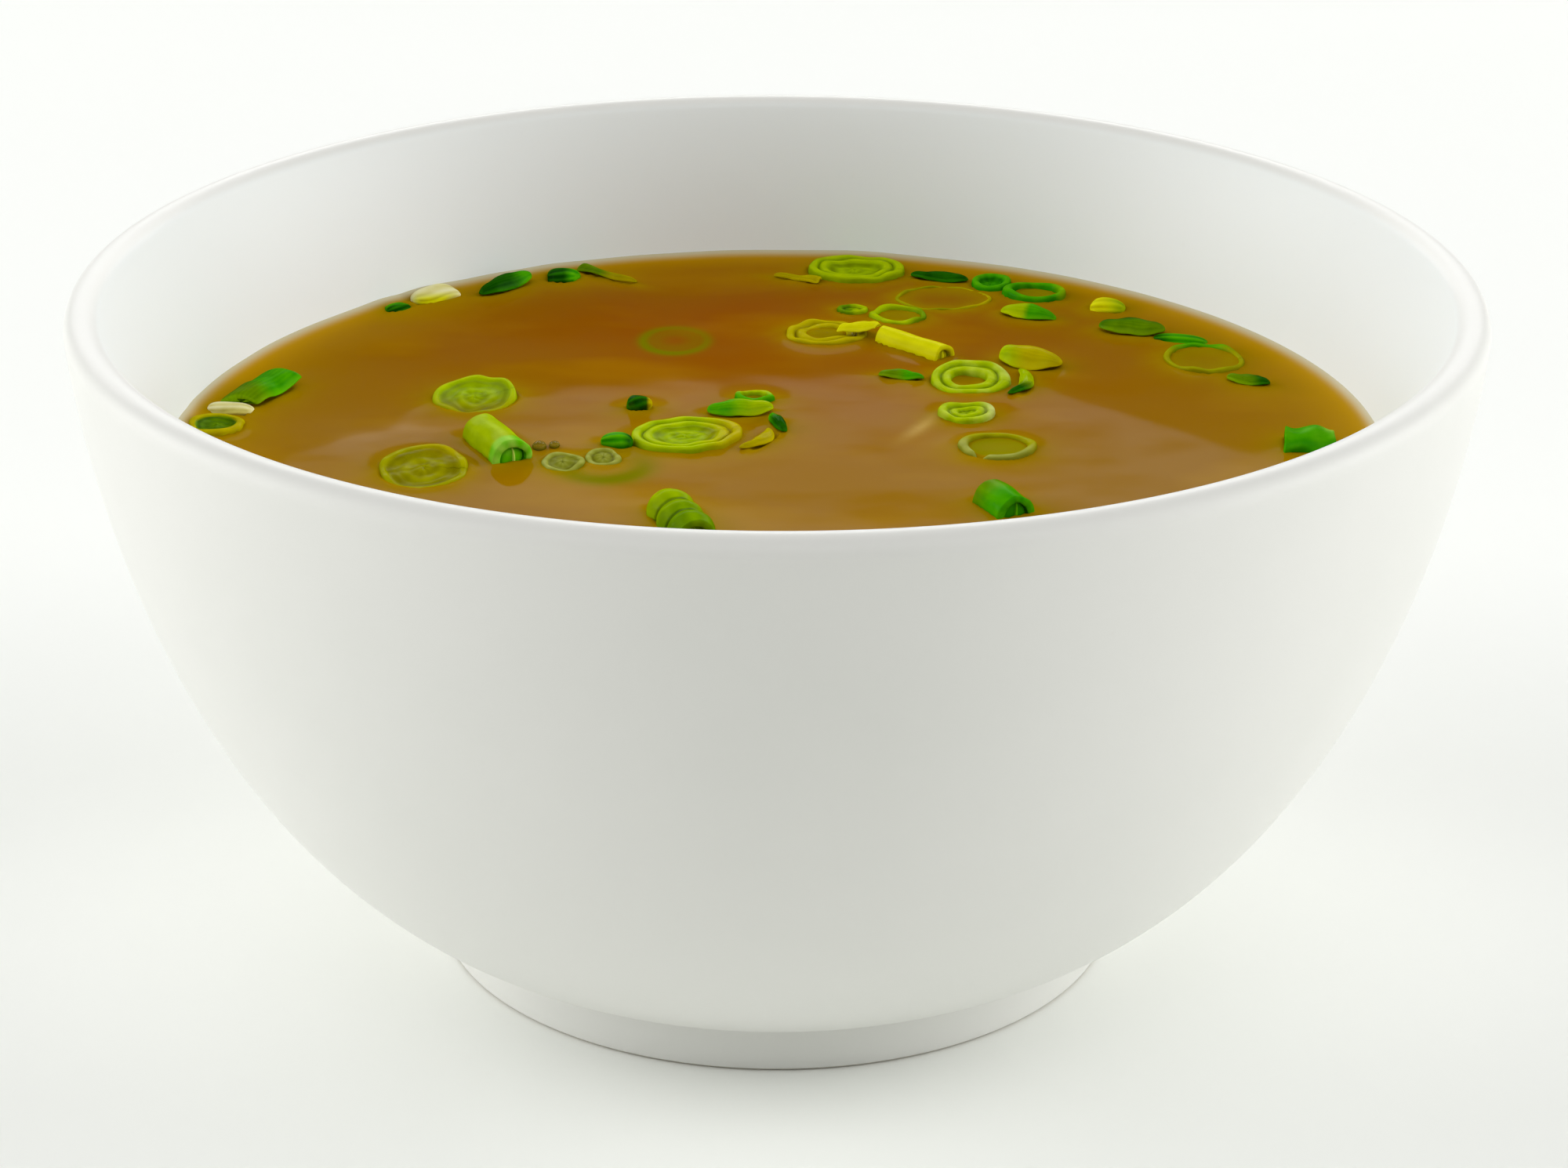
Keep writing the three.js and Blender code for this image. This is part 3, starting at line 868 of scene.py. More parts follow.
@dataclass(frozen=True)
class Broth:
    """The broth: a closed body whose top creeps up the wall and is drawn up by what floats on it."""

    bowl: Bowl
    footprints: tuple[Footprint, ...]
    level: float = BROTH_LEVEL
    contact_height: float = 57.4
    edge_overlap: float = 0.06  # how far its edge reaches into the wall
    creep_width: float = 1.3
    creep_fall: float = 1.4  # the power of e by which the creep falls over that width
    pull_width: float = 1.3
    dip_width: float = 1.1
    halo_width: float = 2.0
    halo_strength: float = 0.85
    swell: float = 0.006
    swell_count: int = 9
    swell_length: float = 9.0  # of the shortest one
    swell_step: float = 3.5
    swell_seed: int = 11
    sunk: tuple[SunkRing, ...] = (
        SunkRing((-11.9, 33.0), 3.7, 1.2, 0.75, 1.0, start=-130, one_sided=0.4),
        SunkRing((-11.9, 33.0), 2.4, 1.2, 1.5, 0.35),
        SunkRing((-18.4, -8.0), 4.2, 1.0, 1.7, 0.95, start=-70, one_sided=0.9),
    )
    smear: Patch = Patch((15.7, 4.1), (1.9, 1.7), 0.55, shear=1.6)
    warm: Patch = Patch((0.0, 36.0), (46.0, 28.0))
    fatty: Patch = Patch((-46.0, 2.0), (9.0, 7.0), 1.2)
    lean: Patch = Patch((4.0, -12.0), (16.0, 11.0), -0.4)
    thin_reach: float = 2.8  # how far from the wall the broth looks thin
    side_light_widening: float = 3.0  # painted light: what the left and right sides add to it, where the side lamps light the wall
    thin_half: float = 60.0  # that far from the middle
    band: float = 5.0  # the breadth of the closely set rings along the wall
    band_rows: int = 26
    band_power: float = 1.4
    rows: int = 146
    wall_rows: int = 60
    under_every: int = 6
    under_depth: float = 1.5  # how far under the edge its underside starts
    under_gap: tuple[float, float] = (0.2, 0.3)  # inwards and upwards from the wall
    around: int = 512

    def edge_radius(self) -> float:
        """The wall's radius where the broth ends, which it just reaches into."""
        wall = self.bowl.inner_wall(np.linspace(0, 1, 400))
        return float(np.interp(-self.contact_height, -wall[:, 1], wall[:, 0])) + self.edge_overlap

    def top(self, x: Array, y: Array, rim: Array) -> Array:
        """The top's height: the level, the creep at the wall, the pull of each piece and long swells.

        Args:
            x: places from the left to the right.
            y: places away from the viewer.
            rim: distances from the wall.

        Returns:
            The heights.
        """
        rise = self.contact_height - self.level
        height = self.level + rise * np.exp(-self.creep_fall * rim / self.creep_width)
        pulled, given = np.zeros_like(x), np.zeros_like(x)
        for print_ in self.footprints:
            off = print_.distance(x, y)
            pulled = np.maximum(pulled, print_.pull * np.exp(-np.maximum(off, 0) / self.pull_width))
            given = np.maximum(given, print_.dip * smooth(0.0, self.dip_width, -off))
        height += pulled - given
        draw = np.random.default_rng(self.swell_seed)
        for wave in range(self.swell_count):
            length = self.swell_length + self.swell_step * wave
            angle, phase = draw.uniform(0, 2 * math.pi, 2)
            along = x * math.cos(angle) + y * math.sin(angle)
            height += self.swell * np.sin(along * 2 * math.pi / length + phase)
        return height

    def marks(self, x: Array, y: Array, rim: Array) -> dict[str, Array]:
        """What the finish reads over the top.

        Args:
            x: places from the left to the right.
            y: places away from the viewer.
            rim: distances from the wall.

        Returns:
            The distance to the wall, how thin and how warm the broth looks, the halos round the pieces,
            the flesh in their bores, the sunk rings, the smear and the film of fat.
        """
        near, flesh = np.full_like(x, 99.0), np.zeros_like(x)
        for print_ in self.footprints:
            near = np.minimum(near, np.maximum(print_.distance(x, y), 0))
            flesh = np.maximum(flesh, print_.flesh * print_.bored(x, y))
        sunk = np.max([ring.shown(x, y) for ring in self.sunk], axis=0)
        # The golden band is thin broth by the wall, widened at the left and right as painted light.
        reach = self.thin_reach + self.side_light_widening * (x / self.thin_half) ** 2
        return {
            "rim": rim,
            "thin": np.exp(-rim / reach),
            "halo": self.halo_strength * np.exp(-near / self.halo_width),
            "flesh": flesh,
            "sunk": sunk,
            "smear": self.smear.shown(x, y),
            "warm": self.warm.shown(x, y),
            "film": 1 + self.fatty.shown(x, y) + self.lean.shown(x, y),
        }

    def surface(self) -> Surface:
        """The top as rings of falling radius, closest by the wall, over an underside along the wall."""
        edge, angle = self.edge_radius(), full_turn(self.around)
        near = np.linspace(0, 1, self.band_rows) ** self.band_power * self.band
        rim = np.concatenate([near, np.linspace(self.band, edge, self.rows)[1:]])[:, None]
        x, y = (edge - rim) * np.sin(angle), (edge - rim) * np.cos(angle)
        rim = np.broadcast_to(rim, x.shape)
        top = side_by_side(x, y, self.top(x, y, rim))
        wall = self.bowl.inner_wall(np.linspace(0, 1, self.wall_rows))
        under = wall[wall[:, 1] < self.contact_height - self.under_depth][:: self.under_every]
        under = np.concatenate([under, [[0.0, self.bowl.floor_height]]])[::-1]
        inwards, upwards = self.under_gap
        radius, height = np.maximum(under[:, :1] - inwards, 0), under[:, 1:] + upwards
        below = side_by_side(radius * np.sin(angle), radius * np.cos(angle), height)
        unmarked = np.zeros(below.shape[:2])
        marks = {name: np.concatenate([unmarked, grid]) for name, grid in self.marks(x, y, rim).items()}
        return Surface.shell(np.concatenate([below, top]), marks)

    def build(self) -> bpy.types.Object:
        """The broth as a piece that stands for its solid."""
        return dressed("broth_amber", self.surface(), BrothFinish().material(), "broth")


@dataclass(frozen=True)
class Bubbles:
    """Small domes of film on the broth."""

    level: float = BROTH_LEVEL + 0.2
    domes: tuple[tuple[float, float, float], ...] = ((-25.6, -2.7, 0.78), (-24.0, -2.3, 0.6))
    stretch: float = 1.4  # away from the viewer
    flatness: float = 0.7
    rows: int = 14
    columns: int = 28

    def surface(self) -> Surface:
        """Flattened balls joined into one mesh.

        With f the fall from the top and a the angle round it, each is x = r sin f cos a,
        y = s r sin f sin a and z = t r cos f, where s is the stretch and t the flatness.

        Returns:
            The mesh, marked with how near each corner is to a ball's girth.
        """
        shells = []
        fall = np.linspace(0, math.pi, self.rows)[:, None]
        angle = full_turn(self.columns)
        for x, y, radius in self.domes:
            points = side_by_side(
                x + radius * np.sin(fall) * np.cos(angle),
                y + self.stretch * radius * np.sin(fall) * np.sin(angle),
                self.level + self.flatness * radius * np.cos(fall),
            )
            shells.append(Surface.shell(points, {"foot": np.sin(fall) ** 5}))
        return joined(shells)

    def build(self) -> bpy.types.Object:
        """The bubbles as one piece."""
        return dressed("broth_bubbles", self.surface(), bubble_material())


def joined(surfaces: Iterable[Surface]) -> Surface:
    """Puts closed surfaces with the same marks into one mesh, side by side."""
    parts = list(surfaces)
    starts = np.cumsum([0] + [len(part.corners) for part in parts[:-1]])
    return Surface(
        np.concatenate([part.corners for part in parts]),
        np.concatenate([part.quads + start for part, start in zip(parts, starts)]),
        np.concatenate([part.triangles + start for part, start in zip(parts, starts)]),
        {name: np.concatenate([part.marks[name] for part in parts]) for name in parts[0].marks},
    )


# ---------------------------------------------------------------- the spring onion


@dataclass(frozen=True)
class Piece:
    """A cut piece of spring onion that floats on the broth."""

    name: str
    slot: str
    at: tuple[float, float]
    look: Look
    _: KW_ONLY
    turn: float = 0.0  # counter-clockwise from +X, seen from above
    tilt: float = 0.0  # raises its far side
    lift: float = 0.0  # its own zero above the broth
    warp_length: float = 3.4
    warp: float = 0.06

    def grid(self) -> Surface:
        """The shape in its own frame, lying along X."""
        raise NotImplementedError

    def footprint(self) -> Footprint:
        """Where it meets the broth."""
        raise NotImplementedError

    def seed(self) -> int:
        """A number of its own for its irregularities."""
        return sum(ord(letter) * (place + 1) for place, letter in enumerate(self.name))

    def warped(self, corners: Array) -> Array:
        """Bends the shape a little, by three long sine waves in every direction.

        Args:
            corners: xyz rows.

        Returns:
            The bent rows.
        """
        draw = np.random.default_rng(self.seed())
        waves = draw.normal(size=(3, 3))
        waves *= (2 * math.pi / self.warp_length) / np.linalg.norm(waves, axis=1)[:, None]
        pushes = draw.normal(size=(3, 3)) * self.warp
        phases = draw.uniform(0, 2 * math.pi, 3)
        return corners + np.sin(corners @ waves.T + phases) @ pushes

    def placed(self, surface: Surface) -> Surface:
        """The shape turned, leant and moved to where it floats."""
        turn, tilt = math.radians(self.turn), math.radians(self.tilt)
        x, y, z = self.warped(surface.corners).T
        x, y = x * math.cos(turn) - y * math.sin(turn), x * math.sin(turn) + y * math.cos(turn)
        y, z = y * math.cos(tilt) - z * math.sin(tilt), y * math.sin(tilt) + z * math.cos(tilt)
        offsets = np.stack([x, y, z], 1)
        surface.corners = offsets + [self.at[0], self.at[1], BROTH_LEVEL + self.lift]
        surface.marks["second"] = self.look.shares(offsets)
        return surface

    def build(self, finishes: "Finishes") -> bpy.types.Object:
        """The piece, which stands for the solid of its name."""
        finish = finishes.material(self.look)
        return dressed(f"cut_{self.name}", self.placed(self.grid()), finish, self.name)


@dataclass
class Finishes:
    """The onion's materials, each made once."""

    made: dict[Look, bpy.types.Material] = field(default_factory=dict)

    def material(self, look: Look) -> bpy.types.Material:
        """The material of a look, shared by every look of the same two tints."""
        key = Look(look.tint, look.second)
        if key not in self.made:
            self.made[key] = OnionFinish(key).material()
        return self.made[key]


@dataclass(frozen=True, kw_only=True)
class Ring(Piece):
    """A slice across a hollow leaf or a stalk: nested layers round a bore or a sunk core."""

    radius: float
    squash: float = 1.0
    egg: float = 0.0
    wall: float = 1.0
    layers: int = 1
    top: float = 0.9
    depth: float = 1.3
    core: bool = False
    flesh: float = 0.85  # how strongly its sunk flesh shows in the bore
    notch: tuple[float, float] | None = None  # its angle and width, where the ring is cut open
    groove: float = 0.45
    groove_sink: float = 0.2
    layer_step: float = 0.15  # how much lower each inner layer stands
    round_off: float = 0.2
    skin_lean: float = 0.22
    skin_bulge: float = 0.12
    bore_bulge: float = 0.1
    bore_flare: float = 0.2
    foot_drop: float = 0.08  # how far its underside is rounded
    core_height: float = 0.35
    core_ripple: float = 0.045
    core_ripple_turns: float = 4.2  # radians in a millimetre
    core_seam: tuple[float, float] = (0.14, 0.1)  # its place inwards and its width, as shares
    # painted shade: the tone underneath
    under_tone: float = 0.1
    skin_tone: tuple[float, float] = (0.05, 0.42)  # painted shade, darkest at the skin's foot, and what it gains upwards
    crest_tone: float = 0.76
    groove_tone: float = 0.3  # painted shade: what a groove takes off the crest's tone
    bore_tone: tuple[float, float] = (0.5, 0.38)  # painted shade in the bore: its tone under the cut, and what it loses downwards
    core_tone: float = 0.5
    out_of_round: tuple[float, float] = (0.022, 0.014)  # shares, two and three times in a turn
    layer_drift: float = 0.035
    height_waves: tuple[float, float] = (0.07, 0.02)  # two and five times in a turn
    notch_taper: tuple[float, float] = (9.0, 0.35)  # how fast and how bluntly it closes at a notch
    layer_rows: int = 16
    groove_rows: int = 10
    around: int = 144

    def span(self) -> float:
        """The width of all layers and the grooves between them."""
        return self.layers * self.wall + (self.layers - 1) * self.groove

    def crest_line(self) -> Array:
        """Rows of (place inwards from the skin, height, tone) over the cut face.

        Within a layer the height is its crest less round_off |v|^3.5, v from -1 to 1 across it; in a
        groove it is a half sine wave down from the layer's edge. The tone falls likewise, as painted
        shade.

        Returns:
            The rows from the skin inwards.
        """
        rows = self.layer_rows * self.layers + self.groove_rows * (self.layers - 1)
        place = np.linspace(0, self.span(), rows)
        layer = np.minimum(place // (self.wall + self.groove), self.layers - 1)
        within = place - layer * (self.wall + self.groove)
        v = np.clip(2 * within / self.wall - 1, -1, 1)
        w = np.clip((within - self.wall) / self.groove, 0, 1)
        dip = np.sin(math.pi * w)
        crest = self.top - layer * self.layer_step
        height = crest - self.round_off * np.abs(v) ** 3.5 - self.groove_sink * dip
        tone = self.crest_tone - 0.22 * np.abs(v) ** 4 - self.groove_tone * dip
        return side_by_side(place, height, tone)

    def section(self) -> Array:
        """The whole section, from the foot of the skin inwards.

        The skin leans in towards its foot and bulges between its ends by a half sine wave. A core settles
        from the last crest to its own height, with low ripples round the middle. A bore falls straight,
        with a half sine wave and a flare of its own.

        Returns:
            Rows of (place inwards, height, tone).
        """
        crest = self.crest_line()
        rise = np.linspace(0, 1, 12)[:-1]
        skin = side_by_side(
            self.skin_lean * (1 - rise) ** 2 - self.skin_bulge * np.sin(math.pi * rise),
            -self.depth + (crest[0, 1] + self.depth) * rise,
            self.skin_tone[0] + self.skin_tone[1] * rise,
        )
        if self.core:
            under = side_by_side([self.radius, self.radius / 2], -self.depth, self.under_tone)
            return np.concatenate([under, skin, crest, self.core_rows(*crest[-1, :2])])
        fall = np.linspace(0, 1, 10)[1:]
        bore = side_by_side(
            self.span() + self.bore_bulge * np.sin(math.pi * fall) - self.bore_flare * fall**2,
            crest[-1, 1] - (crest[-1, 1] + self.depth) * fall,
            self.bore_tone[0] - self.bore_tone[1] * fall,
        )
        foot = [[self.span() / 2, -self.depth - self.foot_drop, self.under_tone]]
        return np.concatenate([skin, crest, bore, foot])

    def core_rows(self, start: float, height: float) -> Array:
        """The core's part of the section.

        Args:
            start: its place inwards, where the last layer ends.
            height: the last layer's height there.

        Returns:
            Rows of (place inwards, height, tone), up to the middle.
        """
        inward = np.linspace(0, 1, 20)[1:]
        settled = min(self.core_height, self.top - self.layer_step)
        place = start + (self.radius - start) * inward
        settle = smooth(0, 0.35, inward)
        ripple = self.core_ripple * np.sin((self.radius - place) * self.core_ripple_turns) * settle
        # Painted shade: a dark seam where the core meets the last layer.
        seam = np.exp(-(((inward - self.core_seam[0]) / self.core_seam[1]) ** 2))
        height = height + (settled - height) * settle + ripple
        return side_by_side(place, height, self.core_tone + 2.6 * ripple - self.groove_tone * seam)

    def grid(self) -> Surface:
        """The section carried round, a little out of round, and waved in height.

        A notched ring's section closes to a point at both ends of its turn instead.

        Returns:
            The closed surface.
        """
        section = self.section()
        draw = np.random.default_rng(self.seed())
        phases = draw.uniform(0, 2 * math.pi, 6)
        if self.notch is None:
            angle, keep = full_turn(self.around), 1.0
        else:
            half = self.notch[1] / 2 / (self.radius - self.wall / 2)
            opening = math.radians(self.notch[0]) + half
            angle = opening + (2 * math.pi - 2 * half) * np.linspace(0, 1, self.around)
            taper, blunt = self.notch_taper
            keep = np.clip(np.sin(np.linspace(0, math.pi, self.around)) * taper, 0, 1) ** blunt
        place, height, tone = (section[:, i : i + 1] for i in range(3))
        middle, low = self.span() / 2, (self.top - self.depth) / 2
        place = middle + (place - middle) * keep
        height = low + (height - low) * keep
        oval, corners = self.out_of_round
        wobble = oval * np.sin(2 * angle + phases[0]) + corners * np.sin(3 * angle + phases[1])
        layered = self.layer_drift * np.sin(3 * angle + phases[2] + 2 * place)
        radius = (self.radius - place) * (1 + wobble) + layered * smooth(0, 1.2, self.radius - place)
        long, short = self.height_waves
        waved = long * np.sin(2 * angle + phases[4]) + short * np.sin(5 * angle + phases[5] + 3 * place)
        x, y = radius * np.cos(angle), radius * np.sin(angle)
        x = x * (1 + self.egg * x / self.radius)
        points = side_by_side(x, y * self.squash, height + waved * smooth(-0.6, 0.3, height))
        marks = {"tone": tone, "across": angle[None] / (2 * math.pi)}
        if self.notch is not None:
            turned = {name: values.T for name, values in marks.items()}
            return Surface.shell(points.transpose(1, 0, 2), turned)
        if self.core:
            return Surface.shell(points, marks)
        return Surface.tyre(points, marks)

    def footprint(self) -> Footprint:
        """The outline, open in the middle where the slice is hollow."""
        bore = 0.0 if self.core else max(0.0, 1 - self.span() / self.radius)
        pull = min(0.3, 0.6 * self.top)
        half_width = self.radius * self.squash
        return Footprint(
            self.at, self.turn, self.radius, half_width, bore=bore, pull=pull, flesh=self.flesh
        )


@dataclass(frozen=True, kw_only=True)
class Tube(Piece):
    """A short length of hollow leaf lying on its side, plain or ridged."""

    length: float
    radius: float
    flat: float = 1.0
    wall: float = 0.8
    ridges: int = 0
    ridge_share: float = 0.09
    cut_round: float = 0.16
    seam_margin: float = 0.4  # no seam comes closer to a cut end
    flesh_inset: float = 0.45
    septum_inset: float = 0.2
    septum_half: float = 0.17
    filling_round: float = 0.3
    filling_rows: int = 20
    filling_around: int = 32
    around: int = 72

    def section(self) -> Array:
        """The section along the tube: skin, cut end, bore and the other cut end.

        Returns:
            Rows of (place along the tube, radius, tone).
        """
        # The bore's lower tone is painted shade, and so are the dark seams between the ridges.
        tone, cut_tone, bore_tone = 0.5, 0.62, 0.35
        half = self.length / 2
        straight = half - self.cut_round
        run = np.linspace(-1, 1, 17 + 24 * max(1, self.ridges)) * straight
        if self.ridges:
            seam = smooth(0.55, 1.0, np.cos(self.ridge_phase(run)))
            tone = 0.56 * (1 - seam * (np.abs(run) < half - self.seam_margin))
        skin = side_by_side(run, self.radius, tone)
        bore = side_by_side(-run[::2], self.radius - self.wall, bore_tone)
        arc = np.radians(np.linspace(75, -75, 7))
        cut_radius = self.radius - self.wall / 2 * (1 - np.sin(arc))
        end = side_by_side(straight + self.cut_round * np.cos(arc), cut_radius, cut_tone)
        return np.concatenate([skin, end, bore, end[::-1] * [-1, 1, 1]])

    def ridge_phase(self, x: Array) -> Array:
        """The ridges' phase along the tube, in radians: 0 in the seam before each ridge."""
        return 2 * math.pi * self.ridges * (x / self.length + 0.5)

    def grid(self) -> Surface:
        """The section carried round the X axis, a little out of round, with flesh in the bore."""
        section = self.section()
        x, radius, tone = (section[:, i : i + 1] for i in range(3))
        swell = 1 - self.ridge_share * np.cos(self.ridge_phase(x)) if self.ridges else 1.0
        angle = full_turn(self.around)
        skin_wave = 1 + 0.008 * np.sin(3 * angle + 1.1 * x) + 0.004 * np.sin(11 * angle)
        reach = radius * swell * skin_wave
        points = side_by_side(x, reach * np.cos(angle) * self.flat, reach * np.sin(angle))
        # Painted light and shade: the skin lighter on top and darker underneath.
        shade = 0.2 * np.sin(angle) * (radius > self.radius - 0.01)
        marks = {"tone": np.clip(tone + shade, 0, 1), "across": angle / (2 * math.pi)}
        bore_radius = self.radius - self.wall + 0.1
        septum = self.filling(self.septum_inset, (self.septum_half, bore_radius), 0.96)
        flesh = self.filling(self.flesh_inset, (bore_radius * self.flat, bore_radius), 0.5)
        return joined([Surface.tyre(points, marks), septum, flesh])

    def filling(self, inset: float, radii: tuple[float, float], tone: float) -> Surface:
        """Flesh in the bore, a ball drawn out to a cylinder with rounded ends.

        Args:
            inset: how far it ends inside the tube.
            radii: its half width and half height.
            tone: its place between painted shade, flesh and cut edge.

        Returns:
            The closed surface.
        """
        fall = np.linspace(0, math.pi, self.filling_rows)[:, None]
        angle = full_turn(self.filling_around)
        along = boxed(-np.cos(fall), self.filling_round) * (self.length / 2 - inset)
        breadth = boxed(np.sin(fall), self.filling_round)
        across, up = breadth * np.cos(angle) * radii[0], breadth * np.sin(angle) * radii[1]
        return Surface.shell(side_by_side(along, across, up), {"tone": tone, "across": 0.0})

    def footprint(self) -> Footprint:
        """A rounded oblong under the tube."""
        return Footprint(self.at, self.turn, self.length / 2, self.radius * self.flat, power=6.0)


class Outline(Enum):
    """How a leaf's breadth runs along it: its slope, its middle share and how blunt its ends are."""

    STRIP = (0.0, 1.0, 12.0)
    LENS = (0.0, 1.0, 2.0)
    TAIL = (-0.4, 0.5, 12.0)

    def breadth(self, u: Array) -> Array:
        """The share of the full width: a straight line in u times (1 - |u|^p)^(1/p)."""
        slope, middle, power = self.value
        return (middle + slope * u) * np.clip(1 - np.abs(u) ** power, 0, 1) ** (1 / power)


@dataclass(frozen=True, kw_only=True)
class Leaf(Piece):
    """A cut piece of flat leaf: thin, arched across, with waved edges."""

    length: float
    width: float
    outline: Outline
    skew: float = 0.0
    arch: float = 0.4
    curl: float = 0.0
    thickness: float = 0.6
    side_round: float = 0.7  # how far its section is a box
    wave: float = 0.12
    crinkle: tuple[float, float] = (0.03, 0.015)  # the heights of two crossing waves
    edge_notch: float = 0.02
    clear: float = 0.42  # its middle above the broth
    face_tone: tuple[float, float] = (0.5, 0.16)  # by the edges, and what it gains to the middle
    # painted shade: the underside's tone
    under_tone: float = 0.12
    edge_tone: float = 0.94
    steps: int = 64
    around: int = 56

    def grid(self) -> Surface:
        """A flat rounded section carried along the leaf, whose breadth closes at both tips."""
        u = -np.cos(np.linspace(0, math.pi, self.steps))[:, None]
        angle = full_turn(self.around)
        v, side = np.cos(angle), boxed(np.sin(angle), self.side_round)
        breadth = self.outline.breadth(u)
        crinkle = self.crinkle[0] * np.sin(7 * u + 5 * v) + self.crinkle[1] * np.sin(13 * u - 3 * v)
        lifted = breadth * (self.arch * (1 - v * v) + self.wave * v * np.sin(4 * u + 1) + crinkle)
        closing = np.clip((1 - np.abs(u) ** 8), 0, 1) ** 0.5
        notch = 1 + self.edge_notch * np.sin(7 * u + 2 * np.sign(v))
        points = side_by_side(
            self.length / 2 * u + self.skew * v,
            breadth * notch * self.width * v / 2 + self.curl * u * u,
            lifted + side * closing * self.thickness / 2,
        )
        edge = np.maximum(smooth(0.78, 0.98, np.abs(v)), smooth(0.9, 0.99, np.abs(u)))
        face = self.face_tone[0] + self.face_tone[1] * (1 - v * v)
        # Painted shade: the underside takes the dark under tone, and only the upper edges turn pale.
        tone = np.where(side > 0, face, self.under_tone)
        tone = tone + (self.edge_tone - tone) * edge * (side > -0.5)
        return Surface.shell(points, {"tone": tone, "across": 0.5 * v})

    def placed(self, surface: Surface) -> Surface:
        """As every piece, raised to where its lower face just wets."""
        surface.corners = surface.corners + [0, 0, self.clear]
        return super().placed(surface)

    def footprint(self) -> Footprint:
        """The leaf's outline, which hardly pulls on the broth."""
        power = 2.0 if self.outline is Outline.LENS else 5.0
        half_width = self.width / 2 * (0.55 if self.outline is Outline.TAIL else 1.0)
        return Footprint(self.at, self.turn, self.length / 2, half_width, power, pull=0.22, dip=0.3)


@dataclass(frozen=True, kw_only=True)
class Chunk(Piece):
    """A small chunk of stalk or leaf: a rounded block that may taper, its layers showing as ridges."""

    length: float
    width: float
    height: float
    taper: float = 0.0
    rounding: float = 0.8
    ridges: int = 7
    ridge_twist: float = 2.0  # radians from the middle to an end
    ridge_share: float = 0.035
    side_tone: float = 0.42
    cut_tone: float = 0.85
    rows: int = 48
    around: int = 64

    def grid(self) -> Surface:
        """A ball whose x, y and z are each boxed, with low ridges along it."""
        fall = np.linspace(0, math.pi, self.rows)[:, None]
        angle = full_turn(self.around)
        along = boxed(-np.cos(fall), self.rounding)
        wave = np.sin(self.ridges * angle + self.ridge_twist * along)
        ridge = 1 + self.ridge_share * wave
        across = boxed(np.sin(fall) * np.cos(angle), self.rounding) * ridge
        up = boxed(np.sin(fall) * np.sin(angle), self.rounding) * ridge
        end = 1 - self.taper * along
        half_size = np.array([self.length, self.width, self.height]) / 2
        points = side_by_side(along, across * end, up * end) * half_size
        cut = smooth(0.8, 1.0, np.abs(along))
        # Painted light and shade: lighter on top, darker underneath, and the cut ends pale only above.
        tone = np.clip(self.side_tone + 0.3 * up + 0.25 * wave * (1 - cut), 0, 1)
        tone += (self.cut_tone - tone) * cut * (up > -0.2)
        return Surface.shell(points, {"tone": tone, "across": angle / (2 * math.pi)})

    def footprint(self) -> Footprint:
        """The chunk's outline."""
        return Footprint(self.at, self.turn, self.length / 2, self.width / 2, power=2.6)


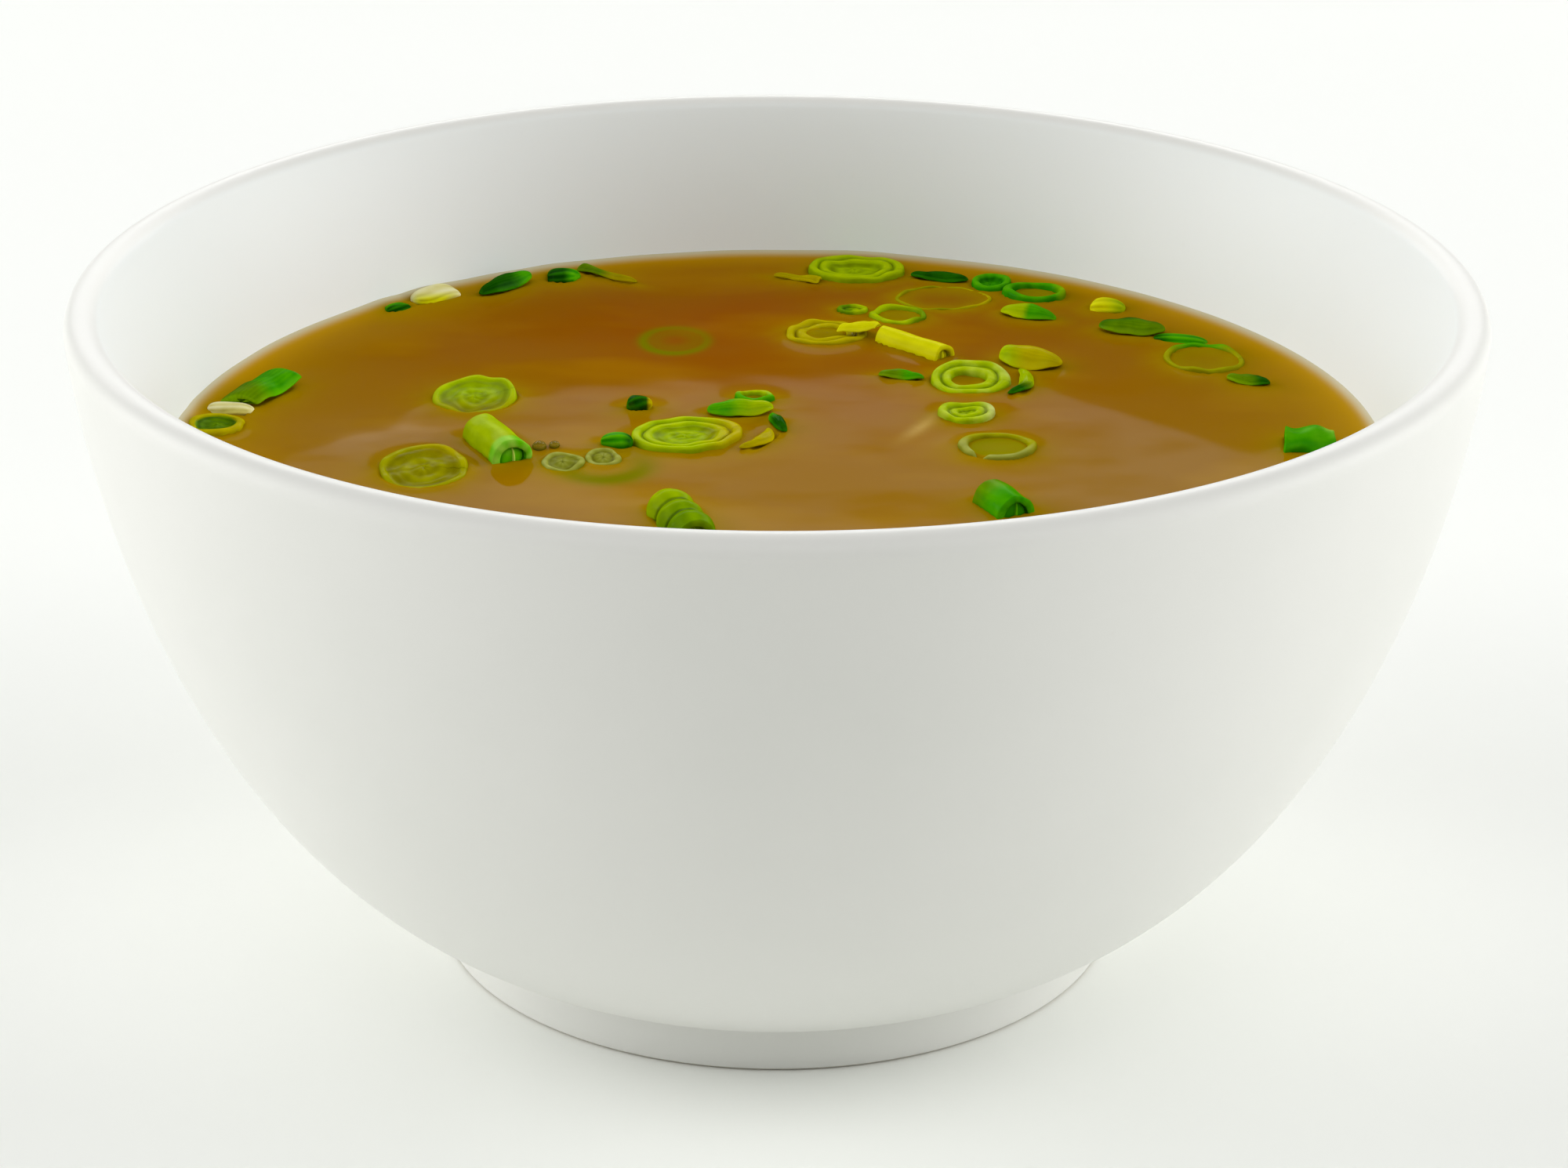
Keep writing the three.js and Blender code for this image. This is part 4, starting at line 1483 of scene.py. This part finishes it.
def spring_onion() -> tuple[Piece, ...]:
    """Every piece that floats on the broth, from the near left to the far right."""
    dark, bright, pale = "onion_dark_green", "onion_bright_green", "onion_pale_green"
    yellow, olive, cream = "onion_yellow", "onion_olive", "onion_cream"
    strip, lens, tail = Outline.STRIP, Outline.LENS, Outline.TAIL
    return (
        Leaf("leaf_folded_left", bright, (-57.5, 13.6), Look(Tint.MOSS, Tint.BRIGHT, 50, -0.5, 0.1),
             turn=62, length=8.5, width=4.6, outline=strip, skew=-0.6, arch=0.9, lift=0.3, tilt=3),
        # Its far side passes into cream as a painted highlight on its top.
        Chunk("chunk_cream_left", cream, (-60.3, 8.5), Look(Tint.GOLD, Tint.CREAM, 90, -0.9, 0.0),
              turn=-10, length=5, width=3.4, height=1.6, lift=0.1),
        Ring("ring_yellow_left", yellow, (-61.2, 3.2), Look(Tint.MOSS, Tint.GOLD, None, 0.62, 0.72),
             turn=10, radius=3.1, squash=0.95, core=True, wall=0.9, top=0.7),
        Ring("ring_pale_upper_left", pale, (-33.6, 12.6), Look(Tint.LIME, Tint.OLIVE, -90, -0.3, 0.8),
             top=0.7, wall=0.8, core=True, turn=20, radius=4.8, tilt=7),
        Tube("tube_pale_left", pale, (-30.1, -3.2), Look(Tint.LIME, Tint.VIVID, -64, 0.5, 0.7), turn=-64,
             length=9.4, radius=2.3, lift=0.3),
        Ring("ring_olive_left", olive, (-37.5, -9.8), Look(Tint.OLIVE, Tint.GOLD, 60, 0.3, 1.0), wall=0.8,
             core=True, radius=4.7, squash=1.18, top=0.6, depth=2, tilt=6),
        Ring("ring_glassy_a", olive, (-22.8, -7.5), Look(Tint.GLASSY), turn=15, radius=2.3, squash=1.2,
             wall=0.6, top=0.4, core=True),
        Ring("ring_glassy_b", olive, (-18.6, -6.3), Look(Tint.GLASSY), turn=20, radius=1.9, squash=1.2,
             wall=0.6, top=0.5, core=True),
        Chunk("chunk_green_slice", bright, (-17.2, -2.2), Look(Tint.BRIGHT, Tint.DARK, 0, 0.2, 0.8),
              turn=-15, length=3.6, width=2, height=2.2, lift=0.4),
        Chunk("chunk_dark_middle", dark, (-15.3, 9.5), Look(Tint.DARK, Tint.GOLD, 0, 0.55, 0.8), turn=10,
              length=3, width=2, height=2.2, lift=0.5),
        Ring("ring_big_middle", yellow, (-10, 0.1), Look(Tint.LIME, Tint.GOLD, 0, 0.1, 0.9), turn=18,
             radius=6.2, squash=0.77, layers=2, egg=0.06, core=True),
        Leaf("leaf_crescent_middle", yellow, (-1.4, -1), Look(Tint.GOLD), turn=62, length=6.4, width=1.7,
             outline=lens, curl=1.2, arch=0.3),
        Leaf("leaf_green_middle", bright, (-4.1, 8), Look(Tint.BRIGHT, Tint.LIME, 0, -0.6, 0.7), turn=6,
             length=7.4, width=3.2, outline=lens, arch=0.8, lift=0.2, tilt=5),
        Leaf("leaf_dark_middle", dark, (0.1, 4.1), Look(Tint.DARK, Tint.BRIGHT, 100, 0.0, 0.7), turn=-72,
             length=5, width=1.5, outline=lens, arch=0.5),
        Ring("ring_green_middle", pale, (-2.5, 12.3), Look(Tint.BRIGHT, Tint.LIME, 90, -0.3, 0.4),
             radius=2.2, squash=0.8, wall=0.7, top=0.9, flesh=0.7),
        Tube("tube_stacked_front", bright, (-9.8, -25), Look(Tint.MOSS, Tint.LIME, 110, -1.0, 2.0),
             turn=-70, length=9.5, radius=2.4, ridges=3, lift=0.1),
        Tube("tube_curl_front", bright, (23.4, -20.2), Look(Tint.BRIGHT, Tint.MOSS, 118, -0.3, 0.9),
             turn=-62, length=5.5, radius=2.2, lift=0.2),
        Ring("ring_notched_right", pale, (23.7, -2.8), Look(Tint.OLIVE, Tint.GLASSY, -110, -0.3, 0.4),
             radius=4.1, squash=0.95, wall=0.9, top=0.7, notch=(235, 0.6), flesh=0.75),
        # The cream towards its right is a painted highlight.
        Ring("ring_small_right", pale, (20.9, 7.5), Look(Tint.LIME, Tint.CREAM, 0, 0.35, 1.5), radius=3.1,
             squash=0.95, layers=2, wall=0.8, core=True),
        # The cream towards its right is a painted highlight.
        Ring("ring_large_right", pale, (21.5, 18.6), Look(Tint.LIME, Tint.CREAM, 20, 0.6, 1.7), turn=-15,
             radius=4.4, layers=2, egg=0.08, tilt=7, top=1, flesh=0.2),
        Leaf("leaf_outer_layer_right", dark, (28.1, 17.7), Look(Tint.LIME, Tint.DARK, -90, 0.0, 0.6),
             turn=78, length=8, width=1.7, outline=lens, curl=1.4, arch=0.3),
        Leaf("leaf_yellow_dome", yellow, (28.9, 24.7), Look(Tint.GOLD, Tint.LIME, 180, 0.1, 0.8),
             turn=-22, length=7.4, width=4.8, outline=lens, arch=1.2, lift=0.3, tilt=6),
        Leaf("leaf_sliver_middle", bright, (14.1, 19.8), Look(Tint.MOSS, Tint.BRIGHT, 0), turn=-18,
             length=5.4, width=1.8, outline=lens, arch=0.3),
        Tube("tube_yellow_back", yellow, (15.7, 30), Look(Tint.YELLOW), turn=-45, length=10, radius=1.5,
             wall=0.6, lift=0.2),
        Ring("ring_yellow_back", yellow, (5.7, 35), Look(Tint.GOLD), radius=4.7, squash=0.9, layers=2,
             top=0.6, flesh=0.45),
        Leaf("leaf_tab_back", yellow, (9.5, 34.3), Look(Tint.YELLOW), turn=12, length=4.6, width=2,
             outline=strip, skew=0.6, arch=0.4, lift=0.75),
        Ring("ring_green_back", pale, (14.4, 41.4), Look(Tint.LIME, Tint.MOSS, 0, 0.0, 1.0), turn=-8,
             radius=3.3, squash=0.9, wall=0.8, top=0.6, flesh=0.4),
        Ring("ring_small_back", pale, (8.9, 43.5), Look(Tint.LIME, Tint.MOSS, 180), radius=1.8,
             squash=0.9, wall=0.6, top=0.6, core=True),
        Ring("ring_thin_back", olive, (19.9, 48.4), Look(Tint.OLIVE, Tint.GOLD, 0, 0.0, 0.7), radius=5.8,
             squash=0.76, wall=0.5, top=0.3, depth=0.9, flesh=0.15),
        Ring("ring_large_back", pale, (9.6, 58.5), Look(Tint.LIME, Tint.DARK, 150, 0.75, 1.1), turn=-8,
             radius=5.9, squash=0.78, layers=2, core=True, top=1),
        Leaf("leaf_tail_back", yellow, (2.4, 55.4), Look(Tint.GOLD), turn=158, length=6, width=1.8,
             outline=tail, arch=0.3),
        Leaf("leaf_sliver_dark_back", dark, (19.7, 55.7), Look(Tint.DARK), turn=-16, length=7.2,
             width=2.4, outline=lens, arch=0.4),
        Ring("ring_bright_back", bright, (25.9, 53.5), Look(Tint.BRIGHT), radius=2.3, squash=1.2,
             wall=0.8, core=True),
        Ring("ring_double_back", bright, (30.9, 49.7), Look(Tint.BRIGHT, Tint.LIME, 0, 0.5, 1.2),
             turn=-12, radius=3.8, squash=0.76, wall=0.9, flesh=0.6),
        Leaf("leaf_two_tone_back", dark, (29.7, 41.8), Look(Tint.LIME, Tint.BRIGHT, -20, -0.15, 0.15),
             turn=-20, length=6.8, width=3.3, outline=lens, arch=0.8),
        Chunk("chunk_yellow_back", yellow, (39.4, 44.8), Look(Tint.YELLOW, Tint.LIME, 0, -0.4, 0.8),
              turn=-20, length=4.2, width=3.8, height=2.2, taper=0.15, lift=0.1),
        Leaf("leaf_edged_back", bright, (41.6, 36.2), Look(Tint.DARK, Tint.MOSS, -90, -0.4, 0.4),
             turn=-10, length=7.8, width=3.7, outline=lens, arch=0.8, lift=0.2, tilt=4),
        Chunk("chunk_green_back", bright, (46.9, 33.2), Look(Tint.BRIGHT, Tint.DARK, 180, 0.1, 0.9),
              turn=-20, length=6.6, width=2.6, height=1.8),
        Ring("ring_olive_right", olive, (49, 26.3), Look(Tint.OLIVE, Tint.BRIGHT, 90, 0.3, 0.9),
             squash=1.12, radius=4.5, wall=0.7, top=0.6, flesh=0.3),
        Leaf("leaf_chip_right", bright, (53.2, 18.6), Look(Tint.MOSS, Tint.DARK, 0, -0.2, 0.6), turn=-24,
             length=5.2, width=2.2, outline=lens, arch=0.3),
        # Its brighter green towards the right is a painted highlight.
        Tube("tube_flat_right", bright, (57.4, -1.8), Look(Tint.BRIGHT, Tint.VIVID, 30, 0.2, 0.7),
             turn=-4, length=5.4, radius=1.6, flat=1.5, wall=0.6, lift=0.5),
        Chunk("chunk_dark_back_left", dark, (-45.3, 44), Look(Tint.BRIGHT, Tint.DARK, -60, -0.2, 0.4),
              turn=40, length=3.4, width=2.6, height=1.5),
        Chunk("chunk_cream_back_left", cream, (-41.1, 47.8), Look(Tint.CREAM, Tint.YELLOW, -70, 0.1, 0.5),
              turn=34, length=6.3, width=3.2, height=2.2, taper=-0.1, lift=0.3),
        Leaf("leaf_edged_back_left", dark, (-33, 51.8), Look(Tint.DARK, Tint.BRIGHT, 46, 0.1, 0.6),
             turn=46, length=8.4, width=3, outline=lens, arch=0.9, lift=0.2, tilt=4),
        Chunk("chunk_dark_back", dark, (-26.2, 55.8), Look(Tint.DARK, Tint.BRIGHT, 0, 0.0, 0.6), turn=-10,
              length=4, width=3.8, height=2, lift=0.2),
        Leaf("leaf_tail_back_left", yellow, (-20.6, 56.1), Look(Tint.MOSS, Tint.GOLD, -37), turn=-37,
             length=8.8, width=2, outline=tail, arch=0.5),
    )


# ---------------------------------------------------------------- the studio


@dataclass(frozen=True)
class Softbox:
    """A large soft light that looks at a point and that the camera doesn't see.

    One that is only mirrored shows in wet and glazed surfaces and lights nothing else.
    """

    name: str
    at: tuple[float, float, float]
    size: tuple[float, float]
    radiance: float
    target: tuple[float, float, float] = (0.0, 0.0, 0.04)
    only_mirrored: bool = False

    def build(self) -> bpy.types.Object:
        """The light."""
        data = bpy.data.lights.new(self.name, "AREA")
        data.shape = "RECTANGLE"
        data.size, data.size_y = self.size
        data.energy = self.radiance * math.pi * self.size[0] * self.size[1]
        light = bpy.data.objects.new(self.name, data)
        light.location = self.at
        light.rotation_euler = (Vector(self.target) - Vector(self.at)).to_track_quat("-Z", "Y").to_euler()
        light.visible_camera = False
        light.visible_diffuse = not self.only_mirrored
        bpy.context.scene.collection.objects.link(light)
        return light


@dataclass(frozen=True)
class Studio:
    """A plain pale floor, soft light from the sides and the back, and the camera."""

    floor_half: float = 3.0
    floor_drop: float = 0.00005  # keeps the floor from touching the foot
    world_strength: float = 0.16
    lens: float = 86.0
    sensor: float = 36.0
    camera_at: tuple[float, float, float] = (0.0, -0.38042, 0.19845)
    pitch: float = 22.665  # below level, in degrees
    yaw: float = 0.12  # to the right
    roll: float = 0.2
    boxes: tuple[Softbox, ...] = (
        Softbox("softbox_left", (-1.5, 0.1, 0.95), (1.3, 1.3), 2.22),
        Softbox("softbox_right", (1.5, 0.1, 0.95), (1.3, 1.3), 2.22),
        Softbox("softbox_low_left", (-1.5, 0.1, 0.4), (1.3, 0.7), 3.24),
        Softbox("softbox_low_right", (1.5, 0.1, 0.4), (1.3, 0.7), 3.24),
        Softbox("softbox_front", (0.0, -1.5, 2.0), (2.6, 1.4), 1.26),
        Softbox("softbox_back", (0.0, 1.5, 0.9), (2.1, 0.9), 1.93),
        Softbox("softbox_mirrored", (0.0, 1.5, 0.74), (2.5, 0.42), 4.0, only_mirrored=True),
    )

    def floor(self) -> bpy.types.Object:
        """The floor, just under the foot."""
        half, level = self.floor_half / MM, -self.floor_drop / MM
        round_it = ((-1, -1), (1, -1), (1, 1), (-1, 1))
        corners = np.array([(x * half, y * half, level) for x, y in round_it])
        surface = Surface(corners, np.array([[0, 1, 2, 3]]), np.zeros((0, 3), int))
        floor = surface.to_object("studio_floor", floor_material())
        return floor

    def world(self) -> None:
        """An even white surround."""
        world = bpy.data.worlds.new("surround")
        world.use_nodes = True
        surround = world.node_tree.nodes["Background"]
        surround.inputs["Color"].default_value = (1.0, 1.0, 0.985, 1.0)
        surround.inputs["Strength"].default_value = self.world_strength
        bpy.context.scene.world = world

    def camera(self) -> bpy.types.Object:
        """The camera, aimed by pitch, yaw and roll."""
        pitch, yaw, roll = (math.radians(angle) for angle in (self.pitch, self.yaw, self.roll))
        level = math.cos(pitch)
        ahead = Vector((math.sin(yaw) * level, math.cos(yaw) * level, -math.sin(pitch)))
        right = Vector((math.cos(yaw), -math.sin(yaw), 0))
        up = right.cross(ahead)
        cosine, sine = math.cos(roll), math.sin(roll)
        right, up = right * cosine + up * sine, up * cosine - right * sine
        data = bpy.data.cameras.new("camera")
        data.lens, data.sensor_width, data.sensor_fit = self.lens, self.sensor, "HORIZONTAL"
        data.clip_start = 0.01
        camera = bpy.data.objects.new("camera", data)
        turned = Matrix((right, up, -ahead)).transposed().to_4x4()
        camera.matrix_world = Matrix.Translation(self.camera_at) @ turned
        bpy.context.scene.collection.objects.link(camera)
        bpy.context.scene.camera = camera
        return camera

    def build(self) -> None:
        """Floor, lights, surround and camera."""
        self.floor()
        for box in self.boxes:
            box.build()
        self.world()
        self.camera()
        view = bpy.context.scene.view_settings
        view.view_transform = "Standard"
        view.look = "None"


def main() -> None:
    """Builds every piece and the studio."""
    logging.basicConfig(level=logging.INFO, format="%(name)s %(message)s")
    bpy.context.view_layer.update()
    bowl = Bowl()
    garnish = spring_onion()
    broth = Broth(bowl, tuple(piece.footprint() for piece in garnish))
    bowl.build()
    broth.build()
    finishes = Finishes()
    for piece in garnish:
        piece.build(finishes)
    Bubbles().build()
    Studio().build()


if __name__ == "__main__":
    main()
